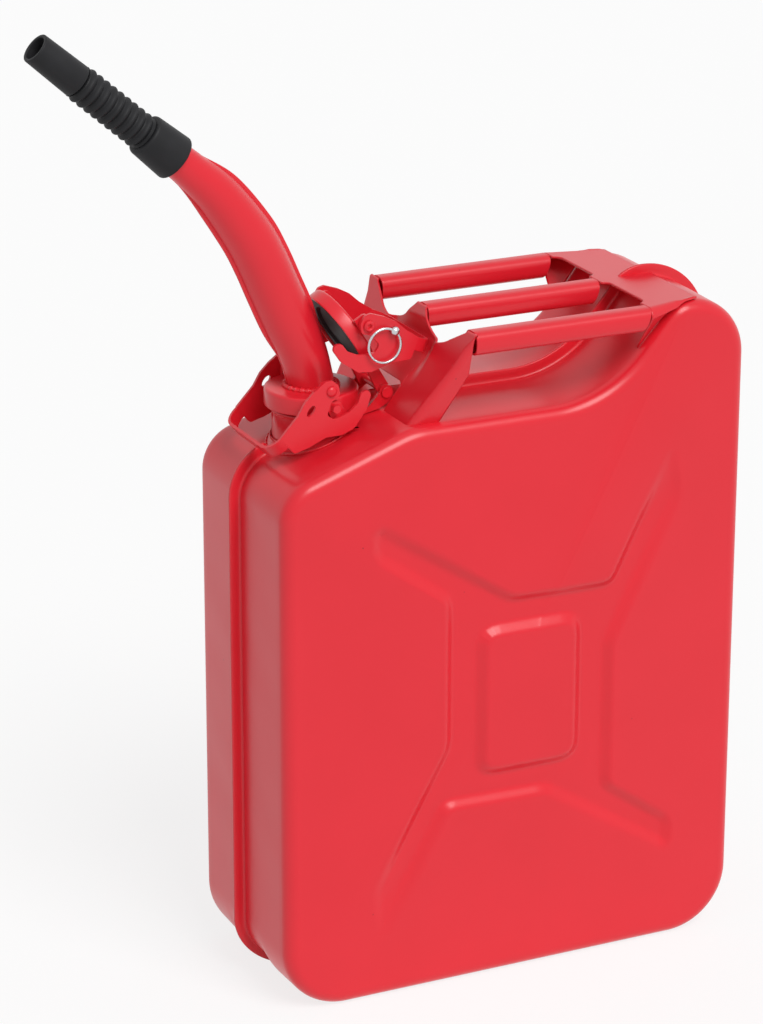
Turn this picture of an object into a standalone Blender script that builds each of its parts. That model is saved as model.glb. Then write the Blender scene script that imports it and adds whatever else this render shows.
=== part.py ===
"""A steel jerry can with a pouring spout, built as separate pieces.

The can stands on its feet with +Z up, its mouth towards -X and its pressed
front panel towards -Y. Lengths are in metres. Places are given in the can's
own frame, whose origin lies under the middle of the body, and one empty moves
everything so that the finished object is centred over the world's origin.
"""

import math

import bmesh
import bpy
from mathutils import Matrix, Vector

# Shared sizes
SHEET = 0.0012
GAP = 0.0003
OVERRUN = 0.012
SMOOTH_ANGLE = math.radians(35)
MERGE_DISTANCE = 0.000001
TURN_MERGE_DISTANCE = 0.00001
ROUND_SHARE = 0.9
HEAD_SHARE = 0.7

# Body outline, on the panels
DIP_HEIGHT = 0.4005
HUMP_RISE = 0.060
SHOULDER_DROP = 0.0331
SHOULDER_LENGTH = 0.0935
DIP_LENGTH = 0.1433
RISE_LENGTH = 0.050
HUMP_LENGTH = 0.0522
FOOT_RADIUS = 0.045
SHOULDER_RADIUS = 0.030
BROW_RADIUS = 0.060
DIP_RADIUS = 0.085
CREST_RADIUS = 0.020
HUMP_RADIUS = 0.041
FOOT_STEPS = 6
CORNER_STEPS = 4
CORNER_ROOM_SHARE = 0.98

# Body pressing
PANEL_DEPTH = 0.140
PANEL_EDGE = 0.009
CROWN = 0.009
CROWN_SHARES = (0.80, 0.52, 0.22)
WALL_DRAFT = 0.0015
FIN_HEIGHT = 0.008
FOOT_RAISE = 0.008
FOOT_CHANNEL = 0.020
FOOT_INNER = 0.034

# Pressed pattern on the panels
EMBOSS_DEPTH = 0.0035
EMBOSS_X = 0.0065
EMBOSS_LIFT = 0.00425
BAND_HALF_LENGTH = 0.0575
BAND_HALF_HEIGHT = 0.0725
BLOCK_HALF_LENGTH = 0.036
BLOCK_HALF_HEIGHT = 0.051
EMBOSS_CORNER = 0.005
EMBOSS_STEPS = 2
ARM_SHARES = ((-1.0, 1.0), (-1.94, 1.54), (-1.82, 1.80), (-0.22, 1.0), (1.0, 1.0), (1.78, 1.55), (2.0, 1.37),
              (1.0, 0.39))

# Neck, on a vertical axis
NECK_SETBACK = 0.042
NECK_RADIUS = 0.026
NECK_WALL = 0.004
NECK_RISE = 0.01837
NECK_DROP = 0.018
NECK_LIP = 0.0012
SEAT_HEIGHT = 0.0035
TURN_STEPS = 28

# Bracket round the neck
COLLAR_RADIUS = 0.040
COLLAR_TOP_RADIUS = 0.031
COLLAR_HEIGHT = 0.0045
FIN_CUT_RADIUS = 0.0445
FIN_STUB = 0.0004
EAR_THICKNESS = 0.0024
EAR_GAP = 0.0006
EAR_RADIUS = 0.0040
LEG_FRONT = 0.0055
LEG_LENGTH = 0.014
TRUNNION_SHIFT = 0.001
TRUNNION_LIFT = 0.007
TRUNNION_RADIUS = 0.0027
TRUNNION_OVERHANG = 0.0017

# Cap hinge
HINGE_REACH = 0.045
HINGE_LIFT = 0.0075
HINGE_PIN_RADIUS = 0.0024
HINGE_EYE = 0.0048
HINGE_HEAD_RADIUS = 0.0038
HINGE_HEAD = 0.0012
CHEEK_OUTSIDE = 0.020
CHEEK_THICKNESS = 0.0025
CHEEK_FRONT = 0.024
CHEEK_LENGTH = 0.017
RUNNING_GAP = 0.0005
SADDLE_THICKNESS = 0.0022

# Cap and spout base, two like pressings
CAP_RADIUS = 0.031
CAP_HEIGHT = 0.0095
CAP_SHEET = 0.0016
CAP_EDGE = 0.0022
CAP_REACH = 0.0454
CAP_TOP = 0.0050
CAP_ANGLE = math.radians(59)
CAP_ARM_HEIGHT = 0.0075
RIVET_RISE = 0.006
RIVET_SHIFT = 0.002
LID_RIVET_SHIFT = -0.010
LID_RIVET_RISE = 0.0041
LUG_HALF_LENGTH = 0.006
LUG_THICKNESS = 0.0024
LUG_HEAD = 0.005
GASKET_RECESS = 0.0016

# Rivets
RIVET_RADIUS = 0.0025
RIVET_HEAD_RADIUS = 0.0036
RIVET_HEAD = 0.0021
BOSS_RADIUS = 0.0048
BOSS_LENGTH = 0.0030

# Levers, the same pressing in two lengths
LEVER_THICKNESS = 0.0022
LEVER_SCALE = 0.030
LEVER_CORNER = 0.0022
SPOUT_LEVER_REACH = 0.057
LID_LEVER_REACH = 0.050
SPOUT_LEVER_ANGLE = math.radians(39.2)
LID_LEVER_ANGLE = math.radians(22)
BRIDGE_BEND = 0.012
BRIDGE_TOP = 0.0018
BRIDGE_HEIGHT = 0.0085
BRIDGE_SINK = 0.0001
BRIDGE_STEPS = 6
LEVER_UPPER_SHARES = ((-0.20, -0.02), (-0.17, 0.18), (-0.05, 0.27), (0.30, 0.29), (0.60, 0.26), (0.90, 0.15))
LEVER_HOOK_SHARES = ((0.75, -0.70), (0.45, -0.94), (0.15, -1.03), (-0.33, -0.92), (-0.60, -0.74), (-0.63, -0.60),
                     (-0.46, -0.54), (-0.27, -0.66), (0.0, -0.67), (0.20, -0.60), (0.36, -0.52), (0.42, -0.33),
                     (0.15, -0.18), (-0.09, -0.21))
LEVER_END_TOP_SHARE = 0.07
LEVER_END_FOOT_SHARE = -0.43
LEVER_WAIST_SHARE = -0.58
LEVER_WAIST = 0.010

# Locking pin and split ring
PIN_ALONG = 0.018
PIN_ABOVE = 0.0019
PIN_RADIUS = 0.0022
PIN_INSIDE = 0.012
PIN_HEAD_RADIUS = 0.0031
PIN_HEAD_LENGTH = 0.0052
PIN_STEPS = 12
RING_RADIUS = 0.0114
RING_WIRE = 0.0009
RING_HOLE = 0.0015
RING_ANGLE = math.radians(130)
RING_SEGMENTS = 24
RING_SIDES = 8
RING_PLACE_SHARE = 0.55

# Spout tube
SPOUT_RUN = 0.0925
SPOUT_RISE = 0.1612
SPOUT_RADIUS = 0.0165
SPOUT_SHEET = 0.0012
SPOUT_FIN = 0.0032
SPOUT_FIN_SHEET_SHARE = 0.8
SPOUT_SECTIONS = 15
SPOUT_ARC = 7
TANGENT_STEP = 0.01
STRAIGHT_FROM = 0.85
SPOUT_PATH_SHARES = ((0.0, 0.0), (0.065, 0.141), (0.172, 0.285), (0.275, 0.420), (0.372, 0.548), (0.480, 0.665),
                     (0.690, 0.832), (0.893, 0.945), (1.0, 1.0))
SPOUT_RADIUS_SHARES = (0.94, 0.97, 1.0, 1.0, 0.99, 0.96, 0.85, 0.73, 0.69)
FIN_SHARES = (0.02, 0.02, 0.9, 1.0, 1.0, 1.0, 0.9, 0.02, 0.02)
WELD_HEIGHT = 0.0022
WELD_WIDTH = 0.0035
WELD_LEAN = 0.0009
WELD_SHOULDER_SHARE = 0.6

# Air tube in the spout and breather pipe in the can
AIR_TUBE_RADIUS = 0.0040
AIR_TUBE_WALL = 0.0010
AIR_TUBE_DROP = 0.030
AIR_TUBE_SECTIONS = 12
BREATHER_RADIUS = 0.0045
BREATHER_WALL = 0.0010
BREATHER_DEPTH = 0.010
BREATHER_REACH = 0.0027

# Nozzle, black rubber
NOZZLE_ANGLE = math.radians(49)
SLEEVE_LENGTH = 0.028
SLEEVE_FOOT_RADIUS = 0.0155
SLEEVE_TOP_RADIUS = 0.0140
SLEEVE_GRIP = 0.012
SLEEVE_EDGE = 0.0015
NOZZLE_BORE = 0.0070
HOSE_LENGTH = 0.057
HOSE_RIBS = 9
HOSE_RIB_RADIUS = 0.0111
HOSE_GROOVE_RADIUS = 0.0096
TIP_LENGTH = 0.036
TIP_RADIUS = 0.0100
TIP_BORE = 0.0078
TIP_STEP = 0.012
TIP_TURN_STEPS = 22

# Carrying handle
BAR_SPACING = 0.070
BAR_WIDTH = 0.017
BAR_HEIGHT = 0.016
BAR_SHEET = 0.0015
BAR_CORNER = 0.0062
BAR_FRONT_SETBACK = 0.0042
BAR_REAR_SETBACK = 0.0253
BAR_STEPS = 4
HANDLE_TOP = 0.0018
FRONT_FOOT_SHIFT = 0.008
FRONT_FOOT_DEPTH = 0.021
FRONT_FOOT_WIDTH = 0.058
FRONT_LEAN = 0.026
FRONT_KNEE_DROP = 0.0183
FRONT_RETURN = 0.011
FRONT_KNEE_WIDTH = 0.0735
FRONT_CORNER = 0.0050
SCALLOP_CORNER = 0.010
FIN_SLOT = 0.0030
REAR_LENGTH = 0.041
REAR_WIDTH = 0.0640
REAR_SIDE_FOOT = 0.0600
REAR_CUTOUT = 0.0044
REAR_CORNER = 0.0055
REAR_SLOT = 0.012
REAR_STATION_SHARES = (0, 0.33, 0.66, 1)
EDGE_SHARE = 0.4

# Derived places
PANEL_LENGTH = SHOULDER_LENGTH + DIP_LENGTH + RISE_LENGTH + HUMP_LENGTH
PANEL_HALF = PANEL_LENGTH / 2
HUMP_HEIGHT = DIP_HEIGHT + HUMP_RISE
SHOULDER_HEIGHT = DIP_HEIGHT - SHOULDER_DROP
BROW_X = -PANEL_HALF + SHOULDER_LENGTH
CREST_X = BROW_X + DIP_LENGTH + RISE_LENGTH
EMBOSS_Z = DIP_HEIGHT / 2 + EMBOSS_LIFT
NECK_X = BROW_X - NECK_SETBACK
SHOULDER_TILT = math.atan2(DIP_HEIGHT - SHOULDER_HEIGHT, SHOULDER_LENGTH)
NECK_FOOT_Z = SHOULDER_HEIGHT + (NECK_X + PANEL_HALF) * math.tan(SHOULDER_TILT)
NECK_TOP = NECK_FOOT_Z + NECK_RISE
TRUNNION_X = NECK_X + TRUNNION_SHIFT
TRUNNION_Z = NECK_TOP + TRUNNION_LIFT
HINGE_X = NECK_X + HINGE_REACH
HINGE_Z = NECK_TOP + HINGE_LIFT
EAR_INSIDE = CAP_RADIUS + EAR_GAP
LEVER_INSIDE = CAP_RADIUS + 2 * GAP + BOSS_LENGTH
LEVER_OUTSIDE = LEVER_INSIDE + LEVER_THICKNESS
RIVET_TIP = LEVER_OUTSIDE + GAP + RIVET_HEAD
HOLE_RADIUS = RIVET_RADIUS + GAP
BASE_BOTTOM = NECK_TOP + SEAT_HEIGHT
BASE_TOP = BASE_BOTTOM + CAP_HEIGHT
SPOUT_RIVET_X = NECK_X - RIVET_SHIFT
SPOUT_RIVET_Z = BASE_TOP + RIVET_RISE
HANDLE_HEIGHT = HUMP_HEIGHT + HANDLE_TOP
FRONT_FOOT_X = BROW_X + FRONT_FOOT_SHIFT
FRONT_KNEE_X = FRONT_FOOT_X + FRONT_LEAN
FRONT_KNEE_Z = HANDLE_HEIGHT - FRONT_KNEE_DROP
BAR_FRONT = FRONT_KNEE_X + BAR_FRONT_SETBACK
BAR_REAR = CREST_X - BAR_REAR_SETBACK
BREATHER_REAR = CREST_X + BREATHER_REACH
NOZZLE_X = NECK_X - SPOUT_RUN
NOZZLE_Z = BASE_TOP + GAP + SPOUT_RISE
HOSE_MIDDLE = SLEEVE_LENGTH + HOSE_LENGTH / 2
NOZZLE_END = SLEEVE_LENGTH + HOSE_LENGTH + TIP_LENGTH
LEFT_END = NOZZLE_X - NOZZLE_END * math.sin(NOZZLE_ANGLE) - TIP_RADIUS * math.cos(NOZZLE_ANGLE)
RIGHT_END = PANEL_HALF + FIN_HEIGHT
CENTRE_SHIFT = -(LEFT_END + RIGHT_END) / 2


def srgb(code):
    """Turn a hex colour code into linear red, green and blue with alpha."""
    values = [int(code[i:i + 2], 16) / 255 for i in (1, 3, 5)]
    return [v / 12.92 if v <= 0.04045 else ((v + 0.055) / 1.055) ** 2.4 for v in values] + [1.0]


def material(name, code, roughness, metallic):
    """Make one piece's Principled material."""
    made = bpy.data.materials.new(name)
    made.use_nodes = True
    shader = made.node_tree.nodes["Principled BSDF"]
    shader.inputs["Base Color"].default_value = srgb(code)
    shader.inputs["Roughness"].default_value = roughness
    shader.inputs["Metallic"].default_value = metallic
    return made


def red_paint(name):
    return material(name, "#DC1F2E", 0.34, 0.0)


def black_rubber(name):
    return material(name, "#2B2B2E", 0.62, 0.0)


def bright_zinc(name):
    return material(name, "#C9CBCE", 0.25, 1.0)


class Workshop:
    """Holds the two collections and adds objects to them."""

    def __init__(self):
        for item in list(bpy.data.objects):
            bpy.data.objects.remove(item, do_unlink=True)
        self.parts = bpy.data.collections.new("jerry_can")
        self.tools = bpy.data.collections.new("cutters")
        bpy.context.scene.collection.children.link(self.parts)
        bpy.context.scene.collection.children.link(self.tools)

    def empty(self, name, parent, location, rotation=(0, 0, 0)):
        made = bpy.data.objects.new(name, None)
        self.parts.objects.link(made)
        made.parent = parent
        made.location = location
        made.rotation_euler = rotation
        return made

    def add(self, name, data, paint, parent, location=(0, 0, 0), rotation=(0, 0, 0)):
        """Add a piece, or a hidden tool when it has no paint."""
        made = bpy.data.objects.new(name, data)
        made.parent = parent
        made.location = location
        made.rotation_euler = rotation
        if paint is None:
            self.tools.objects.link(made)
            made.hide_render = True
            made.display_type = "WIRE"
        else:
            self.parts.objects.link(made)
            data.materials.append(paint(name))
        return made


def finish_mesh(name, work, smooth=True):
    """Close a bmesh into a mesh whose faces point outwards."""
    bmesh.ops.recalc_face_normals(work, faces=work.faces)
    if work.calc_volume(signed=True) < 0:
        bmesh.ops.reverse_faces(work, faces=work.faces)
    mesh = bpy.data.meshes.new(name)
    work.to_mesh(mesh)
    work.free()
    if smooth:
        mesh.shade_smooth()
        mesh.set_sharp_from_angle(angle=SMOOTH_ANGLE)
    return mesh


def box_mesh(name, low, high):
    """A box between two corners."""
    work = bmesh.new()
    bmesh.ops.create_cube(work, size=1.0)
    size = [h - l for l, h in zip(low, high)]
    middle = [(h + l) / 2 for l, h in zip(low, high)]
    bmesh.ops.scale(work, vec=size, verts=work.verts)
    bmesh.ops.translate(work, vec=middle, verts=work.verts)
    return finish_mesh(name, work, smooth=False)


def rod_mesh(name, radius, low, high, axis="Z", steps=TURN_STEPS):
    """A plain cylinder about one axis, from low to high along it."""
    work = bmesh.new()
    bmesh.ops.create_cone(work, cap_ends=True, segments=steps, radius1=radius, radius2=radius, depth=high - low)
    bmesh.ops.translate(work, vec=(0, 0, (high + low) / 2), verts=work.verts)
    if axis == "Y":
        bmesh.ops.rotate(work, matrix=Matrix.Rotation(-math.pi / 2, 3, "X"), verts=work.verts)
    return finish_mesh(name, work)


def loft_mesh(name, rings, smooth=True):
    """Skin rings of equally many points and cap both ends."""
    work = bmesh.new()
    rows = [[work.verts.new(p) for p in ring] for ring in rings]
    count = len(rows[0])
    for low, high in zip(rows, rows[1:]):
        for i in range(count):
            j = (i + 1) % count
            work.faces.new((low[i], low[j], high[j], high[i]))
    work.faces.new(rows[0])
    work.faces.new(rows[-1])
    return finish_mesh(name, work, smooth)


def turned_mesh(name, profile):
    """A profile of (radius, height) points for a Screw modifier, closed unless it ends on the axis."""
    mesh = bpy.data.meshes.new(name)
    last = len(profile) - 1
    edges = [(i, i + 1) for i in range(last)]
    if profile[last][0] > 0:
        edges.append((last, 0))
    mesh.from_pydata([(r, 0, z) for r, z in profile], edges, [])
    return mesh


def turn(item, steps=TURN_STEPS):
    """Sweep a profile once round its Z axis."""
    screw = item.modifiers.new("turn", "SCREW")
    screw.steps = steps
    screw.render_steps = steps
    screw.use_merge_vertices = True
    screw.merge_threshold = TURN_MERGE_DISTANCE
    screw.use_smooth_shade = True
    return item


def cut(item, tool, operation="DIFFERENCE"):
    """Cut a tool out of an item, or join it on."""
    boolean = item.modifiers.new(tool.name, "BOOLEAN")
    boolean.operation = operation
    boolean.solver = "EXACT"
    boolean.object = tool


def join(item, tool):
    cut(item, tool, "UNION")


def rounded(corners, steps):
    """Round the corners (x, z, radius) of a closed outline with arcs, each limited by its two edges."""
    points = []
    count = len(corners)
    lengths = []
    reaches = []
    for i, (x, z, radius) in enumerate(corners):
        before = Vector(corners[i - 1][:2]) - Vector((x, z))
        after = Vector(corners[(i + 1) % count][:2]) - Vector((x, z))
        lengths.append(after.length)
        reaches.append(radius / math.tan(before.angle(after) / 2))
    for i, (x, z, radius) in enumerate(corners):
        ahead = lengths[i] / (reaches[i] + reaches[(i + 1) % count])
        behind = lengths[i - 1] / (reaches[i] + reaches[i - 1])
        radius *= min(1, CORNER_ROOM_SHARE * ahead, CORNER_ROOM_SHARE * behind)
        before = Vector(corners[i - 1][:2])
        after = Vector(corners[(i + 1) % count][:2])
        here = Vector((x, z))
        inward = (before - here).normalized()
        onward = (after - here).normalized()
        half = inward.angle(onward) / 2
        reach = radius / math.tan(half)
        centre = here + (inward + onward).normalized() * (radius / math.sin(half))
        start = here + inward * reach - centre
        sweep = math.pi - 2 * half
        if inward.x * onward.y - inward.y * onward.x > 0:
            sweep = -sweep
        number = steps[i] if isinstance(steps, (list, tuple)) else steps
        for k in range(number + 1):
            turned = Matrix.Rotation(sweep * k / number, 2) @ start
            points.append(tuple(centre + turned))
    return points


def grown(corners, distances):
    """Move each edge of an outline outwards; edge i runs from corner i to the next one.

    The outline runs clockwise in (x, z). Its radii grow on outer corners and shrink on inner ones.
    """
    count = len(corners)
    lines = []
    for i in range(count):
        a = Vector(corners[i][:2])
        b = Vector(corners[(i + 1) % count][:2])
        along = (b - a).normalized()
        out = Vector((-along.y, along.x))
        lines.append((a + out * distances[i], along))
    moved = []
    for i in range(count):
        (p, d), (q, e) = lines[i - 1], lines[i]
        cross = d.x * e.y - d.y * e.x
        t = ((q.x - p.x) * e.y - (q.y - p.y) * e.x) / cross
        meet = p + d * t
        growth = distances[i] if cross < 0 else -distances[i]
        moved.append((meet.x, meet.y, corners[i][2] + growth))
    return moved


def plate_mesh(name, loops, thickness):
    """A flat plate in the XZ plane, centred on Y, from closed loops of (x, z); inner loops are holes."""
    curve = bpy.data.curves.new(name, "CURVE")
    curve.dimensions = "2D"
    curve.fill_mode = "BOTH"
    curve.extrude = thickness / 2
    for loop in loops:
        spline = curve.splines.new("POLY")
        spline.points.add(len(loop) - 1)
        for point, (x, z) in zip(spline.points, loop):
            point.co = (x, z, 0, 1)
        spline.use_cyclic_u = True
    return curve_to_mesh(name, curve, Matrix.Rotation(math.pi / 2, 4, "X"))


def curve_to_mesh(name, curve, placing=Matrix()):
    """Make a curve's solid into a mesh with its caps welded on."""
    holder = bpy.data.objects.new(name, curve)
    bpy.context.scene.collection.objects.link(holder)
    graph = bpy.context.evaluated_depsgraph_get()
    mesh = bpy.data.meshes.new_from_object(holder.evaluated_get(graph))
    bpy.data.objects.remove(holder, do_unlink=True)
    bpy.data.curves.remove(curve)
    work = bmesh.new()
    work.from_mesh(mesh)
    bmesh.ops.remove_doubles(work, verts=work.verts, dist=MERGE_DISTANCE)
    bmesh.ops.transform(work, matrix=placing, verts=work.verts)
    bpy.data.meshes.remove(mesh)
    return finish_mesh(name, work)


def pipe_mesh(name, points, radius, radii=None, resolution=2):
    """A round solid along a row of points, with its own radius at each."""
    curve = bpy.data.curves.new(name, "CURVE")
    curve.dimensions = "3D"
    curve.bevel_depth = radius
    curve.bevel_resolution = resolution
    curve.use_fill_caps = True
    spline = curve.splines.new("POLY")
    spline.points.add(len(points) - 1)
    for i, place in enumerate(points):
        spline.points[i].co = (*place, 1)
        spline.points[i].radius = radii[i] / radius if radii else 1
    return curve_to_mesh(name, curve)


def read_shares(shares, t):
    """Read a smooth value between evenly numbered shares, t from 0 to 1."""
    last = len(shares) - 1
    i = min(int(t * last), last - 1)
    u = t * last - i
    a, b = shares[i], shares[i + 1]
    before = shares[i - 1] if i > 0 else 2 * a - b
    after = shares[i + 2] if i + 2 <= last else 2 * b - a
    return (2 * a + (b - before) * u + (2 * before - 5 * a + 4 * b - after) * u ** 2
            + (3 * a - before - 3 * b + after) * u ** 3) / 2


def body_corners():
    """The panels' outline, clockwise from the front foot, with its radii."""
    left = -PANEL_HALF
    dip_end = BROW_X + DIP_LENGTH
    return [(left, 0, FOOT_RADIUS), (left, SHOULDER_HEIGHT, SHOULDER_RADIUS), (BROW_X, DIP_HEIGHT, BROW_RADIUS),
            (dip_end, DIP_HEIGHT, DIP_RADIUS), (CREST_X, HUMP_HEIGHT, CREST_RADIUS),
            (PANEL_HALF, HUMP_HEIGHT, HUMP_RADIUS), (PANEL_HALF, 0, FOOT_RADIUS)]


def body_outline(growth, draft=0.0):
    """The outline moved outwards, its two upright sides also by the walls' draft."""
    sides = [growth] * 7
    sides[0] += draft
    sides[5] += draft
    steps = [FOOT_STEPS] + [CORNER_STEPS] * 5 + [FOOT_STEPS]
    return rounded(grown(body_corners(), sides), steps)


def top_height(x, growth):
    """Height of the body's upper outline over x, with the outline moved outwards."""
    points = body_outline(growth)
    heights = []
    for a, b in zip(points, points[1:]):
        if min(a[0], b[0]) <= x <= max(a[0], b[0]) and a[0] != b[0]:
            heights.append(a[1] + (b[1] - a[1]) * (x - a[0]) / (b[0] - a[0]))
    return max(heights)


def body_ring(depth, growth, side, draft=WALL_DRAFT):
    """One ring of the body at a depth from the seam, with the raised channel between its feet."""
    draft *= max(0.0, 1 - depth / (PANEL_DEPTH / 2 - PANEL_EDGE))
    share = min(1.0, max(0.0, (FOOT_INNER - depth) / (FOOT_INNER - FOOT_CHANNEL)))
    lift = FOOT_RAISE * share
    ring = []
    for x, z in body_outline(growth, draft):
        if z < FOOT_RADIUS:
            z = lift + z * (FOOT_RADIUS - lift) / FOOT_RADIUS
        ring.append((x, side * depth, z))
    return ring


def pan_rings(side, inset, start):
    """Rings of a deep-drawn pan, set in from the outside, from the seam to its crowned panel."""
    wall_end = PANEL_DEPTH / 2 - PANEL_EDGE
    radius = PANEL_EDGE - inset
    rings = list(start)
    for depth in (FOOT_CHANNEL, FOOT_INNER, wall_end):
        rings.append(body_ring(depth, -inset, side))
    for angle in (math.pi / 6, math.pi / 3, math.pi / 2):
        rings.append(body_ring(wall_end + radius * math.sin(angle), -inset - radius * (1 - math.cos(angle)), side))
    edge = rings[-1]
    middle = Vector((0, 0, HUMP_HEIGHT / 2))
    for share in CROWN_SHARES:
        depth = PANEL_DEPTH / 2 - inset + CROWN * (1 - share ** 2)
        rings.append([(middle.x + (x - middle.x) * share, side * depth, middle.z + (z - middle.z) * share)
                      for x, _, z in edge])
    return rings


def emboss_mesh(name, growth, side):
    """The pressed band with its four arms as a thick plate, grown on all sides, without the middle block."""
    half = [(a * BAND_HALF_LENGTH, b * BAND_HALF_HEIGHT) for a, b in ARM_SHARES]
    turned = [(-x, -z) for x, z in half]
    corners = [(EMBOSS_X + x, EMBOSS_Z + z, EMBOSS_CORNER) for x, z in half + turned]
    outer = rounded(grown(corners, [growth] * len(corners)), EMBOSS_STEPS)
    a, b = BLOCK_HALF_LENGTH, BLOCK_HALF_HEIGHT
    block = [(EMBOSS_X + x, EMBOSS_Z + z, EMBOSS_CORNER) for x, z in ((-a, -b), (-a, b), (a, b), (a, -b))]
    inner = rounded(grown(block, [-growth] * 4), EMBOSS_STEPS)
    thickness = PANEL_EDGE + CROWN + OVERRUN
    mesh = plate_mesh(name, [outer, inner], thickness)
    mesh.transform(Matrix.Translation((0, side * (PANEL_DEPTH / 2 - PANEL_EDGE + thickness / 2), 0)))
    return mesh


def make_body_half(shop, can, name, side):
    """One pressed pan with its seam flange; side is -1 for the front and 1 for the back."""
    seam = GAP / 2
    outer_start = [body_ring(seam, FIN_HEIGHT, side, 0), body_ring(seam + SHEET, FIN_HEIGHT, side, 0),
                   body_ring(seam + SHEET, 0, side)]
    inner_start = [[(x, -side * OVERRUN, z) for x, _, z in body_ring(0, -SHEET, side)]]
    tool_start = [body_ring(0, 0, side)]
    half = shop.add(name, loft_mesh(name, pan_rings(side, 0, outer_start)), red_paint, can)
    floor = shop.add(name + "_emboss_floor", loft_mesh("floor", pan_rings(side, EMBOSS_DEPTH, tool_start)),
                     None, can)
    back = shop.add(name + "_emboss_back", loft_mesh("back", pan_rings(side, EMBOSS_DEPTH + SHEET, tool_start)),
                    None, can)
    press = shop.add(name + "_emboss", emboss_mesh("press", 0, side), None, can)
    punch = shop.add(name + "_emboss_inside", emboss_mesh("punch", SHEET, side), None, can)
    inside = shop.add(name + "_inside", loft_mesh("inside", pan_rings(side, SHEET, inner_start)), None, can)
    cut(press, floor)
    cut(punch, back)
    cut(inside, punch)
    cut(half, press)
    cut(half, inside)
    return half


def make_neck(shop, can, halves):
    """The filler neck, a turned tube with a rolled lip, let into both halves."""
    outer, inner = NECK_RADIUS, NECK_RADIUS - NECK_WALL
    low = NECK_FOOT_Z - NECK_DROP
    lip = outer + NECK_LIP
    profile = [(outer, NECK_TOP), (lip, NECK_TOP - NECK_LIP), (lip, NECK_TOP - 2 * NECK_LIP),
               (outer, NECK_TOP - 3 * NECK_LIP), (outer, low), (inner, low), (inner, NECK_TOP)]
    turn(shop.add("filler_neck", turned_mesh("filler_neck", profile), red_paint, can, (NECK_X, 0, 0)))
    hole = shop.add("neck_hole", rod_mesh("neck_hole", outer + GAP, low - OVERRUN, NECK_TOP + OVERRUN), None, can,
                    (NECK_X, 0, 0))
    clearing = shop.add("fin_clearing", rod_mesh("fin_clearing", FIN_CUT_RADIUS, FIN_STUB, FIN_HEIGHT + OVERRUN),
                        None, can, (NECK_X, 0, NECK_FOOT_Z), (0, -SHOULDER_TILT, 0))
    for half in halves:
        cut(half, clearing)
        cut(half, hole)


def xz_plate(shop, name, corners, steps, inside, outside, parent, side, paint=None, holes=()):
    """A plate in the XZ plane between two distances from the middle, on one side of it."""
    loops = [rounded(corners, steps)]
    for x, z, radius in holes:
        loops.append([(x + radius * math.cos(a), z + radius * math.sin(a))
                      for a in (2 * math.pi * k / PIN_STEPS for k in range(PIN_STEPS))])
    mesh = plate_mesh(name, loops, outside - inside)
    return shop.add(name, mesh, paint, parent, (0, side * (inside + outside) / 2, 0))


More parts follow.
